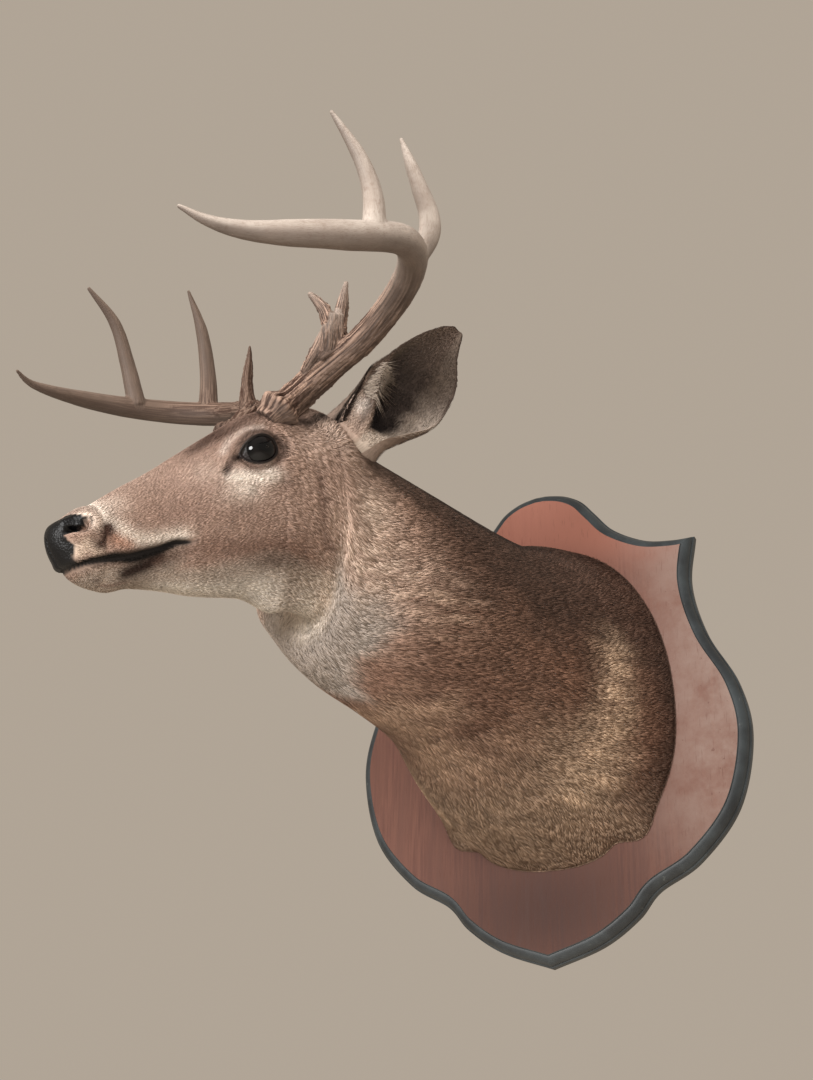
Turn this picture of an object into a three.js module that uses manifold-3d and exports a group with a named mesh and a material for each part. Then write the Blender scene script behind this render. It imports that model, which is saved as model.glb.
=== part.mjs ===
// White-tailed deer shoulder mount on its shield-shaped wall plaque, life size.
// Millimetres, +Z up. The origin is the centre of the plaque's flat back face.
// The wall lies behind it at +Y; the deer looks out along -Y, its head turned to its own right (-X).
import * as THREE from 'three';
import { mergeVertices } from 'three/addons/utils/BufferGeometryUtils.js';
import Module from 'manifold-3d';

const wasm = await Module();
wasm.setup();

// ---------------------------------------------------------------- driving dimensions
const GAP = 0.3; // clearance between neighbouring pieces

const BOARD_THICKNESS = 19;
const BOARD_EDGE_DEPTH = 8; // straight part of the edge, from the back
const BOARD_MOULDING = 11; // width of the run-out moulding round the face
const BOARD_HOLLOW = [[0.25, 10], [0.55, 15]]; // on the moulding: share of its width, depth from the back
const BOARD_TOP = 254;
const BOARD_CORNER = [167, 174]; // the sharp upper corners
const CREST_STEPS = 16;
const FLANK_STEPS = 28;

const HEAD_ORIGIN = [-145, -396, 137]; // midway between the eyes
const HEAD_TURN = 31; // degrees, towards the deer's right
const HEAD_DROP = 17; // degrees, nose down
const HEAD_ROLL = 7; // degrees, left side down

const NOSE_LENGTH = 38;
const NOSE_LIFT = 6; // the nose tip sits higher than the middle of the muzzle

const EYE_RADIUS = 16.5;
const EYE_AT = [4, 48, -1.5]; // left eye in the head's own frame: forward, left, up

const EAR_LENGTH = 159;
const EAR_FRONT = [35, 32, 31, 34, 31, 29, 25, 20]; // width before the mid line, evenly from root to tip
const EAR_REAR = [29, 26, 35, 45, 43, 36, 19, 9]; // width behind the mid line
const EAR_WALL = [5, 2.3]; // thickness at the root and at the tip
const EAR_CURL = [150, 50]; // degrees that the cup turns each way from its mid line, root and tip
const EAR_OPEN = 0.7; // share of the length where the curl reaches its value at the tip
const EAR_MOUTH = 0.15; // share of the length where the hollow begins behind the mid line
const EAR_MOUTH_TURN = 0.1; // place across the ear before which it begins later
const EAR_MOUTH_SLANT = 0.4; // how much later it begins towards the front edge
const EAR_MOUTH_SLOPE = [-0.05, 0.16]; // where the hollow starts and reaches its depth, about the mouth
const EAR_BEND = 10; // how far the tip leans back

const BODY_SIDES = 36;
const ANTLER_SIDES = 10;

// Head sections, from the muzzle back: distance ahead of the eyes, shift to the left, top, bottom,
// half width, level of the widest point, and how square the upper and lower halves are (2 is an ellipse).
const HEAD_SECTIONS = [
  [150, 0, -37, -106, 31, -70, 2.3, 2.3],
  [120, 0, -21, -108, 34, -62, 2.3, 2.2],
  [90, 0, -7, -112, 38, -55, 2.2, 2.1],
  [60, 0, 9, -118, 45, -44, 2.2, 2.0],
  [30, 0, 25, -121, 54, -30, 2.3, 1.9],
  [0, 0, 40, -122, 60, -18, 2.5, 1.8],
  [-30, -2, 49, -125, 65, -22, 2.5, 1.9],
  [-60, -8, 52, -140, 75, -38, 2.3, 2.0],
];

// Neck and shoulder sections back to the plaque: centre, turn, drop and roll of the section,
// height above and below the centre, half width, and the same two squareness values.
const NECK_SECTIONS = [
  [[-121, -306, 98], [25, 8, 5], 97, 110, 88, 2.3, 2.0],
  [[-91, -256, 79], [21, -6, 4], 98, 119, 97, 2.1, 2.0],
  [[-57, -200, 57], [16, -17, 3], 105, 123, 99, 2.1, 2.0],
  [[-34, -135, 37], [10, -15, 2], 126, 126, 104, 2.1, 2.1],
  [[-18, -75, 12], [5, -7, 1], 165, 143, 122, 2.1, 2.1],
  [[5, -19, -16], [0, 0, 0], 197, 149, 137, 2.1, 2.2],
];
const NECK_START = HEAD_SECTIONS.length; // number of the section where the neck begins
const LAST_SECTION = NECK_START + NECK_SECTIONS.length - 1;

// Soft forms on the head, in its own frame: forward, left, up, radius, height. Each is on both sides.
const HEAD_FORMS = [
  [5, 56, 4, 30, 6], // rim of the eye socket
  [8, 60, -2, 18, -14], // opening between the lids
  [4, 44, 30, 20, 4], // brow
  [52, 42, -45, 24, 4], // crest of the cheek
  [-28, 54, -72, 34, 5], // chewing muscle
  [100, 36, -45, 26, -3], // hollow between cheek and muzzle
  [158, 24, -56, 13, 4], // wing of the nostril
  [167, 17, -57, 7, -5], // nostril
  [175, 7, -39, 12, -3.5], // slope above the nose pad
  [128, 32, -84, 20, 3], // upper lip
  [140, 6, -104, 13, 2.5], // chin
  [-13, 8, -128, 19, 9], // top of the throat
  [-45, 8, -138, 24, 6], // throat behind the jaw
  [-55, 90, -120, 24, 7], // side of the throat
  [-25, 45, 37, 16, -2], // hide drawn down round the antler's root
  [-90, 60, 12, 26, 12], // root of the ear
  [-86, 46, 44, 24, 18], // fold between ear and antler
];

// Where the hide is drawn down to the plaque at the lower corners: place, radius, height.
const HIDE_CORNERS = [
  [[103, -19, -137], 22, 11],
  [[-98, -19, -132], 22, 10],
  [[76, -19, -144], 14, -7],
  [[-76, -19, -140], 14, -6],
];

// ---------------------------------------------------------------- frames and sections
function sectionFrame(turn, drop, roll) {
  const [y, p, r] = [turn, drop, roll].map(THREE.MathUtils.degToRad);
  const forward = new THREE.Vector3(-Math.sin(y) * Math.cos(p), -Math.cos(y) * Math.cos(p), -Math.sin(p));
  const level = new THREE.Vector3(Math.cos(y), -Math.sin(y), 0);
  const upright = forward.clone().cross(level);
  const left = level.multiplyScalar(Math.cos(r)).addScaledVector(upright, -Math.sin(r));
  return { forward, left, up: forward.clone().cross(left) };
}

const headFrame = sectionFrame(HEAD_TURN, HEAD_DROP, HEAD_ROLL);
const headOrigin = new THREE.Vector3(...HEAD_ORIGIN);

function fromHead([ahead, left, up]) {
  return headOrigin
    .clone()
    .addScaledVector(headFrame.forward, ahead)
    .addScaledVector(headFrame.left, left)
    .addScaledVector(headFrame.up, up);
}

function toHead(point) {
  const offset = point.clone().sub(headOrigin);
  const { forward, left, up } = headFrame;
  return new THREE.Vector3(offset.dot(forward), offset.dot(left), offset.dot(up));
}

// Every section as one row of numbers: centre, angles, heights, half width, squareness.
const sections = [
  ...HEAD_SECTIONS.map(([ahead, shift, top, bottom, half, widest, squareTop, squareBottom]) => [
    ...fromHead([ahead, shift, widest]).toArray(),
    HEAD_TURN,
    HEAD_DROP,
    HEAD_ROLL,
    top - widest,
    widest - bottom,
    half,
    squareTop,
    squareBottom,
  ]),
  ...NECK_SECTIONS.map(([centre, angles, ...sizes]) => [...centre, ...angles, ...sizes]),
];

// Smooth (Catmull-Rom) reading of a list of values at any place between its items.
function smoothAt(values, t) {
  const i = Math.min(Math.max(Math.floor(t), 0), values.length - 2);
  const w = t - i;
  const b = values[i];
  const c = values[i + 1];
  const a = values[i - 1] ?? 2 * b - c;
  const d = values[i + 2] ?? 2 * c - b;
  return b + 0.5 * w * (c - a + w * (2 * a - 5 * b + 4 * c - d + w * (3 * (b - c) + d - a)));
}

const sectionColumns = sections[0].map((_, k) => sections.map((row) => row[k]));

function sectionAt(t) {
  return sectionColumns.map((column) => smoothAt(column, t));
}

function formHeight(point) {
  const p = toHead(point);
  let height = 0;
  for (const [ahead, left, up, radius, rise] of HEAD_FORMS) {
    for (const side of [1, -1]) {
      const distance = p.distanceTo(new THREE.Vector3(ahead, side * left, up));
      height += rise * Math.exp(-((distance / radius) ** 2));
    }
  }
  for (const [place, radius, rise] of HIDE_CORNERS) {
    const distance = point.distanceTo(new THREE.Vector3(...place));
    height += rise * Math.exp(-((distance / radius) ** 2));
  }
  return height;
}

// One ring of the body's surface. Positions below 0 close the nose; grow swells the ring.
function bodyRing(t, grow = 0) {
  const row = sectionAt(Math.max(t, 0));
  const centre = new THREE.Vector3(row[0], row[1], row[2]);
  const { left, up } = sectionFrame(row[3], row[4], row[5]);
  let closing = 1;
  if (t < 0) {
    const angle = (-t * Math.PI) / 2;
    centre.addScaledVector(headFrame.forward, (NOSE_LENGTH + grow) * Math.sin(angle));
    centre.addScaledVector(headFrame.up, NOSE_LIFT * Math.sin(angle) ** 2);
    closing = Math.cos(angle) ** 1.1;
  }
  const [above, below, half, squareTop, squareBottom] = row.slice(6);
  return Array.from({ length: BODY_SIDES }, (_, k) => {
    const angle = (k / BODY_SIDES) * 2 * Math.PI;
    const [s, c] = [Math.sin(angle), Math.cos(angle)];
    const height = c >= 0 ? above : below;
    const square = c >= 0 ? squareTop : squareBottom;
    const reach = (Math.abs(s / half) ** square + Math.abs(c / height) ** square) ** (-1 / square);
    const out = left.clone().multiplyScalar(s).addScaledVector(up, c);
    const plain = centre.clone().addScaledVector(out, reach * closing);
    return plain.addScaledVector(out, (formHeight(plain) + grow) * Math.min(closing * 2, 1));
  });
}

// ---------------------------------------------------------------- solids
// A closed body through rings of equal count, each end closed by a fan to the ring's middle.
function loft(rings) {
  const count = rings[0].length;
  const points = rings.flat();
  const faces = [];
  for (let r = 0; r + 1 < rings.length; r += 1) {
    for (let k = 0; k < count; k += 1) {
      const a = r * count + k;
      const b = r * count + ((k + 1) % count);
      faces.push([a, b, b + count], [a, b + count, a + count]);
    }
  }
  const middle = (ring) => ring.reduce((sum, p) => sum.add(p), new THREE.Vector3()).divideScalar(count);
  const start = points.push(middle(rings[0])) - 1;
  const end = points.push(middle(rings.at(-1))) - 1;
  const base = (rings.length - 1) * count;
  for (let k = 0; k < count; k += 1) {
    const next = (k + 1) % count;
    faces.push([start, next, k], [end, base + k, base + next]);
  }
  return outward(points, faces);
}

// Turns the faces over where they would enclose a negative volume.
function outward(points, faces) {
  let volume = 0;
  for (const [a, b, c] of faces) {
    volume += points[a].dot(points[b].clone().cross(points[c]));
  }
  const index = faces.flatMap(([a, b, c]) => (volume > 0 ? [a, b, c] : [a, c, b]));
  const geometry = new THREE.BufferGeometry();
  const positions = points.flatMap((p) => p.toArray());
  geometry.setAttribute('position', new THREE.Float32BufferAttribute(positions, 3));
  geometry.setIndex(index);
  return geometry;
}

function toManifold(geometry) {
  const bare = geometry.clone();
  bare.deleteAttribute('normal');
  bare.deleteAttribute('uv');
  const merged = mergeVertices(bare, 1e-4);
  const vertProperties = new Float32Array(merged.attributes.position.array);
  const triVerts = new Uint32Array(merged.index.array);
  return new wasm.Manifold(new wasm.Mesh({ numProp: 3, vertProperties, triVerts }));
}

function fromManifold(solid) {
  const { vertProperties, triVerts } = solid.getMesh();
  const geometry = new THREE.BufferGeometry();
  geometry.setAttribute('position', new THREE.BufferAttribute(new Float32Array(vertProperties), 3));
  geometry.setIndex(new THREE.BufferAttribute(new Uint32Array(triVerts), 1));
  return geometry;
}

function cut(geometry, ...tools) {
  const solid = tools.reduce((rest, tool) => rest.subtract(toManifold(tool)), toManifold(geometry));
  return fromManifold(solid);
}

const group = new THREE.Group();

function addPiece(name, geometry, material) {
  const mesh = new THREE.Mesh(geometry, material);
  mesh.name = name;
  group.add(mesh);
}

// ---------------------------------------------------------------- plaque
// The right half of the outline, as two curves that meet at the sharp upper corner.
function boardOutline() {
  const crest = [
    [0, BOARD_TOP],
    [9, 253.5],
    [27, 249],
    [45, 238.5],
    [60, 221],
    [80, 198],
    [112, 180],
    [141, 174.5],
    BOARD_CORNER,
  ];
  const flank = [
    BOARD_CORNER,
    [160, 122],
    [173, 66],
    [201, 10],
    [210, -46],
    [193, -114],
    [152, -163],
    [110, -188],
    [88, -212],
    [52, -236],
    [0, -BOARD_TOP],
  ];
  const curve = (points) => new THREE.SplineCurve(points.map(([x, z]) => new THREE.Vector2(x, z)));
  const half = [...curve(crest).getPoints(CREST_STEPS).slice(0, -1), ...curve(flank).getPoints(FLANK_STEPS)];
  const mirrored = half.slice(1, -1).reverse().map((p) => new THREE.Vector2(-p.x, p.y));
  return [...half, ...mirrored];
}

// The outline moved inwards by a distance, mitred at its corners.
function inset(outline, distance) {
  const count = outline.length;
  return outline.map((p, k) => {
    const before = p.clone().sub(outline[(k + count - 1) % count]).normalize();
    const after = outline[(k + 1) % count].clone().sub(p).normalize();
    const inwards = new THREE.Vector2(before.y + after.y, -before.x - after.x).normalize();
    const mitre = Math.max(inwards.dot(new THREE.Vector2(before.y, -before.x)), 0.5);
    return p.clone().addScaledVector(inwards, distance / mitre);
  });
}

function makePlaque() {
  const outline = boardOutline();
  const profile = [
    [0, 0],
    [0, BOARD_EDGE_DEPTH],
    ...BOARD_HOLLOW.map(([share, depth]) => [BOARD_MOULDING * share, depth]),
    [BOARD_MOULDING, BOARD_THICKNESS],
  ];
  const rings = profile.map(([inwards, depth]) =>
    inset(outline, inwards).map((p) => new THREE.Vector3(p.x, -depth, p.y)),
  );
  const mahogany = new THREE.MeshStandardMaterial({ color: 0x7a4a3d, roughness: 0.5, metalness: 0 });
  addPiece('plaque_board', loft(rings), mahogany);
}

// ---------------------------------------------------------------- body
function ringPositions(from, to, step) {
  const count = Math.max(Math.round((to - from) / step), 1);
  return Array.from({ length: count + 1 }, (_, k) => from + ((to - from) * k) / count);
}

// A length of the body between two positions. Its rear ring is held back by the gap.
function bodyLength(positions, grow = 0) {
  const rings = positions.map((t) => bodyRing(t, grow));
  const row = sectionAt(Math.max(positions.at(-1), 0));
  const { forward } = sectionFrame(row[3], row[4], row[5]);
  rings.at(-1).forEach((p) => p.addScaledVector(forward, GAP));
  return loft(rings);
}

const NOSE_RINGS = [-0.985, -0.9, -0.75, -0.58, -0.4, -0.2];
const MOUTH_CORNER = 2.5; // position of the section at the corner of the mouth
const wholeBody = bodyLength([...NOSE_RINGS, ...ringPositions(0, LAST_SECTION, 0.5)], GAP);

function eyeBall(side, radius) {
  const ball = new THREE.SphereGeometry(radius, 16, 10);
  const [ahead, left, up] = EYE_AT;
  return ball.translate(...fromHead([ahead, side * left, up]).toArray());
}

// The closed mouth: a thin curved sheet that parts the lower jaw from the muzzle.
function mouthSheet() {
  const line = [[200, -92], [165, -91], [130, -89], [100, -85], [68, -77]];
  const half = 70;
  const rings = line.map(([ahead, up]) => [
    fromHead([ahead, half, up]),
    fromHead([ahead, -half, up]),
    fromHead([ahead, -half, up - GAP]),
    fromHead([ahead, half, up - GAP]),
  ]);
  return loft(rings);
}

function makeBody() {
  const hide = (color) => new THREE.MeshStandardMaterial({ color, roughness: 0.9, metalness: 0 });
  const muzzle = bodyLength([...NOSE_RINGS, ...ringPositions(0, MOUTH_CORNER, 0.5)]);
  const [upper, lower] = toManifold(muzzle)
    .subtract(toManifold(mouthSheet()))
    .decompose()
    .sort((a, b) => b.volume() - a.volume());
  addPiece('head_muzzle', fromManifold(upper), hide(0x8d7565));
  addPiece('head_jaw', fromManifold(lower), hide(0xbcb2a6));
  const skull = bodyLength(ringPositions(MOUTH_CORNER, NECK_START, 0.5));
  const sockets = [1, -1].map((side) => eyeBall(side, EYE_RADIUS + GAP));
  addPiece('head_skull', cut(skull, ...sockets), hide(0x8a705f));
  addPiece('neck_front', bodyLength(ringPositions(NECK_START, NECK_START + 1.5, 0.5)), hide(0x87695a));
  addPiece('neck_rear', bodyLength(ringPositions(NECK_START + 1.5, NECK_START + 3, 0.5)), hide(0x7a5a49));
  addPiece('shoulders', bodyLength(ringPositions(NECK_START + 3, LAST_SECTION, 0.34)), hide(0x6b4e3d));
}

function makeEyes() {
  for (const [side, name] of [[1, 'eye_left'], [-1, 'eye_right']]) {
    const glass = new THREE.MeshStandardMaterial({ color: 0x0c0a09, roughness: 0.05, metalness: 0 });
    addPiece(name, eyeBall(side, EYE_RADIUS), glass);
  }
}

// ---------------------------------------------------------------- ears
// A cupped leaf: each ring runs round the outer face and back along the inner one.
const EAR_RINGS = 13;
const EAR_FACES = 11;
const EAR_LAST = 0.985; // share of the length where the tip is closed
const EAR_RIM = 1.5; // how far the inner face stands off the outer one at the edges
const EAR_INNER = 0.97; // how much narrower the inner face is
const EAR_SWELL = 3.5; // how far the fur before the hollow swells out
const EAR_THIN = 0.6; // share of the wall lost at the edges

function earHalfWidth(u, v) {
  const place = u * (EAR_FRONT.length - 1);
  const rear = THREE.MathUtils.smoothstep(v, -0.5, 0.5);
  const width = THREE.MathUtils.lerp(smoothAt(EAR_FRONT, place), smoothAt(EAR_REAR, place), rear);
  return width * Math.sqrt(1 - u ** 6) + EAR_RIM;
}

function makeEar(name, side, root, turn, rise, facing) {
  const { degToRad, lerp, smoothstep } = THREE.MathUtils;
  const [a, e] = [turn, rise].map(degToRad);
  const axis = new THREE.Vector3(Math.cos(e) * Math.cos(a), Math.cos(e) * Math.sin(a), Math.sin(e));
  const open = new THREE.Vector3(...facing);
  open.addScaledVector(axis, -open.dot(axis)).normalize();
  const across = axis.clone().cross(open);
  const rings = Array.from({ length: EAR_RINGS }, (_, r) => {
    const u = Math.min(r / (EAR_RINGS - 1), EAR_LAST);
    const curl = degToRad(lerp(...EAR_CURL, Math.min(u / EAR_OPEN, 1)));
    const point = (v, inner) => {
      const mouth = EAR_MOUTH + EAR_MOUTH_SLANT * Math.max(EAR_MOUTH_TURN - v * side, 0);
      const hollow = smoothstep(u - mouth, ...EAR_MOUTH_SLOPE);
      const angle = v * curl;
      const radius = earHalfWidth(u, v * side) / Math.sin(Math.min(curl, Math.PI / 2));
      const outer = radius * (1 - Math.cos(angle));
      const lip = radius * (1 - Math.cos(curl));
      const wall = lerp(...EAR_WALL, u) * (1 - v ** 4 * EAR_THIN);
      const cover = lip + EAR_RIM + EAR_SWELL * (1 - v * v) * (1 - u);
      const depth = inner ? lerp(cover, Math.min(outer + wall, lip + EAR_RIM), hollow) : outer;
      const round = radius * Math.sin(angle);
      const sideways = inner ? lerp(radius * Math.sin(curl) * v, round, hollow) * EAR_INNER : round;
      const p = axis.clone().multiplyScalar(EAR_LENGTH * u);
      p.addScaledVector(across, sideways);
      p.addScaledVector(open, depth - lip - EAR_BEND * u * u);
      return fromHead(new THREE.Vector3(...root).add(p).toArray());
    };
    const steps = Array.from({ length: EAR_FACES }, (_, k) => -1 + (2 * k) / (EAR_FACES - 1));
    return [...steps.map((v) => point(v, false)), ...steps.reverse().map((v) => point(v, true))];
  });
  const hide = new THREE.MeshStandardMaterial({ color: 0x5c4d45, roughness: 0.9, metalness: 0 });
  addPiece(name, cut(loft(rings), wholeBody), hide);
}

// ---------------------------------------------------------------- antlers
// A smooth curve through points given in the head's own frame.
function branch(points) {
  const places = points.map((p) => fromHead(p));
  return new THREE.CatmullRomCurve3(places, false, 'centripetal');
}

// Reads a list of values that are spread evenly from the root to the tip.
function along(values, u) {
  const place = u * (values.length - 1);
  const i = Math.min(Math.floor(place), values.length - 2);
  return THREE.MathUtils.lerp(values[i], values[i + 1], place - i);
}

// A tube of varying radius over part of a curve; spread widens it along the reference direction.
function tube(curve, radiusAt, from, to, steps, reference, spread = 1) {
  const rings = ringPositions(from, to, (to - from) / steps).map((u) => {
    const centre = curve.getPointAt(u);
    const tangent = curve.getTangentAt(u);
    const side = reference.clone().cross(tangent).normalize();
    const other = tangent.clone().cross(side);
    const radius = radiusAt(u);
    return Array.from({ length: ANTLER_SIDES }, (_, k) => {
      const angle = (k / ANTLER_SIDES) * 2 * Math.PI;
      return centre
        .clone()
        .addScaledVector(side, radius * Math.cos(angle))
        .addScaledVector(other, radius * spread * Math.sin(angle));
    });
  });
  return loft(rings);
}

// The coronet (burr) swells each beam just above the skull.
const BURR_AT = 0.035;
const BURR_HALF_HEIGHT = 0.014;
const BURR_RISE = 7;
const BASE_STEPS = 13; // rings along the base of a beam, close enough to show the burr
const UPPER_STEPS = 28; // rings along a whole beam above the base
const BEAM_STEPS = 44;
const TINE_STEPS = 6;

// Each antler: the beam and its radii, where it is divided (just past each fork), and its tines.
// The left brow tine is palmate and splits into two prongs.
const ANTLERS = {
  left: {
    beam: [
      [-13, 41.5, 27],
      [-58, 56, 62],
      [-89, 114, 91],
      [-93, 178, 120],
      [-59, 222, 128],
      [6, 228, 125],
      [82, 206, 131],
      [110, 199, 139],
      [130, 191, 153],
    ],
    radii: [14.5, 13.8, 13.2, 12.8, 12.8, 13, 12.8, 12.4, 10.8, 7, 1.8],
    forks: [0.27, 0.56, 0.75],
    tines: {
      brow: [
        {
          points: [[-68, 76, 76], [-69, 83, 90], [-70, 87, 103], [-72, 89, 114]],
          radii: [8, 8.6, 8.6, 7],
          spread: 1.5,
        },
        { points: [[-67, 86, 106], [-64, 83, 122], [-55, 77, 139]], radii: [6.4, 5.4, 2.2], spread: 1.1 },
        { points: [[-74, 88, 104], [-80, 89, 122], [-87, 93, 146]], radii: [6.4, 5.4, 1.8], spread: 1.1 },
      ],
      second: [
        {
          points: [[-84, 203, 124], [-97, 207, 142], [-103, 205, 162], [-102, 200, 190], [-98, 191, 240]],
          radii: [9, 9.5, 8, 5.8, 1.8],
        },
      ],
      third: [
        {
          points: [[-22, 231, 126], [-31, 226, 165], [-28, 222, 197], [-11, 215, 241]],
          radii: [12.5, 8, 6, 1.8],
        },
      ],
    },
  },
  right: {
    beam: [
      [-13, -41.5, 27],
      [-58, -56, 64],
      [-88, -116, 87],
      [-95, -175, 104],
      [-61, -216, 118],
      [6, -225, 128],
      [76, -210, 136],
      [102, -202, 142],
      [116, -194, 151],
    ],
    radii: [13.5, 13, 12.6, 12.4, 12.4, 12.4, 11.8, 10.6, 8.6, 5.6, 1.6],
    forks: [0.22, 0.56, 0.75],
    tines: {
      brow: [
        {
          points: [[-59, -63, 70], [-66, -69, 104], [-71, -68, 124], [-73, -65, 140]],
          radii: [9.5, 6.2, 4.6, 1.4],
        },
      ],
      second: [
        {
          points: [[-88, -191, 113], [-95, -194, 153], [-93, -190, 200], [-82, -187, 245]],
          radii: [10.5, 8.4, 6.4, 1.6],
        },
      ],
      third: [
        {
          points: [[-22, -222, 126], [-17, -221, 172], [-6, -216, 215], [21, -211, 250]],
          radii: [12, 7.5, 6, 2],
        },
      ],
    },
  },
};

function makeAntler(side, { beam, radii: beamRadii, forks, tines }) {
  const curve = branch(beam);
  const burr = (u) => BURR_RISE * Math.exp(-(((u - BURR_AT) / BURR_HALF_HEIGHT) ** 2));
  const beamRadius = (u) => along(beamRadii, u) + burr(u);
  const bone = (color) => new THREE.MeshStandardMaterial({ color, roughness: 0.55, metalness: 0 });
  const marks = [0, ...forks, 1];
  const names = ['base', 'beam_lower', 'beam_upper', 'beam_tip'];
  const colours = [0x6d5040, 0x8b7763, 0x9a8b78, 0xb5aa98];
  const gapShare = GAP / curve.getLength();
  const { up, forward } = headFrame;
  names.forEach((name, k) => {
    const from = k === 0 ? 0 : marks[k] + gapShare;
    const steps = k === 0 ? BASE_STEPS : Math.round((marks[k + 1] - marks[k]) * UPPER_STEPS);
    const length = tube(curve, beamRadius, from, marks[k + 1], steps, up);
    addPiece(`antler_${side}_${name}`, k === 0 ? cut(length, wholeBody) : length, bone(colours[k]));
  });
  const clearance = tube(curve, (u) => beamRadius(u) + GAP, 0, 1, BEAM_STEPS, up);
  for (const [name, prongs] of Object.entries(tines)) {
    const tine = prongs
      .map(({ points, radii, spread }) => {
        const radiusAt = (u) => along(radii, u);
        return toManifold(tube(branch(points), radiusAt, 0, 1, TINE_STEPS, forward, spread));
      })
      .reduce((whole, prong) => whole.add(prong));
    const pieces = tine.subtract(toManifold(clearance)).decompose();
    const [largest] = pieces.sort((a, b) => b.volume() - a.volume());
    addPiece(`antler_${side}_tine_${name}`, fromManifold(largest), bone(0xa39480));
  }
}

makePlaque();
makeBody();
makeEyes();
makeEar('ear_left', 1, [-89.6, 54, 5.9], 156.8, 38.6, [0.45, 0.88, -0.05]);
makeEar('ear_right', -1, [-89.6, -54, 5.9], -146, 20, [0.45, -0.88, -0.05]);
makeAntler('left', ANTLERS.left);
makeAntler('right', ANTLERS.right);

export default group;
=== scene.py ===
import itertools
import math

import bpy
import numpy as np
from mathutils import Matrix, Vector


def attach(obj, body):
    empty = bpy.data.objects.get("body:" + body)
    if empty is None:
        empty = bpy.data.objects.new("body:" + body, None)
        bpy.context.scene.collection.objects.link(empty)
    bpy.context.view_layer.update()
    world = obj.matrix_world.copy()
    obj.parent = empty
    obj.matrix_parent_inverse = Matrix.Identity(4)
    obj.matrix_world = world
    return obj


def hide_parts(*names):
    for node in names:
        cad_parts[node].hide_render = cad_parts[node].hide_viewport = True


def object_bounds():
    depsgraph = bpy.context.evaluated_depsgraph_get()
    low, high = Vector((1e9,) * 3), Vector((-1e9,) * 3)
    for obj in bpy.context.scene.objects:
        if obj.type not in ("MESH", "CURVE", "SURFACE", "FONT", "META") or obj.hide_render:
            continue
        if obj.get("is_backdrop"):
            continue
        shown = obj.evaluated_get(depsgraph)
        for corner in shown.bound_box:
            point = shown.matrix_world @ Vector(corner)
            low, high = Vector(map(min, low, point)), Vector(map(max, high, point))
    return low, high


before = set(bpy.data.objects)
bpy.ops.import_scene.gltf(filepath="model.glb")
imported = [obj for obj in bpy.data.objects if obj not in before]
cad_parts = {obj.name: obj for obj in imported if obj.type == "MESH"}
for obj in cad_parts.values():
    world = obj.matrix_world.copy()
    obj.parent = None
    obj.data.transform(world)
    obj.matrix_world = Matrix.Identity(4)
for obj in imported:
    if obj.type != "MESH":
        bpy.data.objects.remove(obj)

cad_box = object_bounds()


# ------------------------------------------------------------------ the room
# A pale floor well below the mount and an even pale room, with soft studio lamps above and in
# front. The camera stands low, in front and to the mount's left, and looks up at it.
class Flow:
    """A value in a node tree: arithmetic adds Math nodes, and node() adds any other node."""

    def __init__(self, tree, socket=None):
        self.tree = tree
        self.socket = socket

    def node(self, kind, settings=None, inputs=None, output=0):
        made = self.tree.nodes.new(kind)
        for name, value in (settings or {}).items():
            setattr(made, name, value)
        for name, value in (inputs or {}).items():
            if isinstance(value, Flow):
                self.tree.links.new(value.socket, made.inputs[name])
            else:
                made.inputs[name].default_value = value
        return Flow(self.tree, made.outputs[output])

    def maths(self, operation, first, second):
        return self.node("ShaderNodeMath", {"operation": operation}, {0: first, 1: second})

    def __add__(self, other):
        return self.maths("ADD", self, other)

    def __sub__(self, other):
        return self.maths("SUBTRACT", self, other)

    def __rsub__(self, other):
        return self.maths("SUBTRACT", other, self)

    def __mul__(self, other):
        return self.maths("MULTIPLY", self, other)

    __radd__ = __add__
    __rmul__ = __mul__

    def spot(self, middle, reach):
        """How near a value is to the middle, squared and measured in reaches."""
        offset = (self - middle) * (1 / reach)
        return offset * offset

    def step(self, low, high):
        ranges = {1: low, 2: high, 3: 0.0, 4: 1.0}
        return self.node("ShaderNodeMapRange", {"interpolation_type": "SMOOTHSTEP"}, {0: self, **ranges})

    def tint(self, first, second):
        return self.node("ShaderNodeMix", {"data_type": "RGBA"}, {0: self, 6: first, 7: second}, 2)


def paint(red, green, blue):
    """A colour as it looks, 0 to 255, as the linear colour that a socket takes."""
    levels = [c / 255 for c in (red, green, blue)]
    return (*[c / 12.92 if c <= 0.04045 else ((c + 0.055) / 1.055) ** 2.4 for c in levels], 1.0)


def new_finish(name, **constants):
    """A material with a Principled shader whose constant sockets are set here."""
    material = bpy.data.materials.new(name)
    material.use_nodes = True
    shader = material.node_tree.nodes["Principled BSDF"]
    for socket, value in constants.items():
        shader.inputs[socket.replace("_", " ")].default_value = value
    return material, Flow(material.node_tree), shader


def feed(shader, **values):
    for socket, value in values.items():
        value.tree.links.new(value.socket, shader.inputs[socket.replace("_", " ")])


def placed(flow, scale=(1, 1, 1), source="Object"):
    """Coordinates on the piece, stretched by a Mapping node."""
    coordinates = flow.node("ShaderNodeTexCoord", output=source)
    return flow.node("ShaderNodeMapping", {}, {"Vector": coordinates, "Scale": scale})


def noise(flow, place, scale, detail=4.0, roughness=0.55):
    values = {"Vector": place, "Scale": scale, "Detail": detail, "Roughness": roughness}
    return flow.node("ShaderNodeTexNoise", {}, values)


def bump(flow, height, strength, distance):
    return flow.node("ShaderNodeBump", {}, {"Height": height, "Strength": strength, "Distance": distance})


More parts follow.
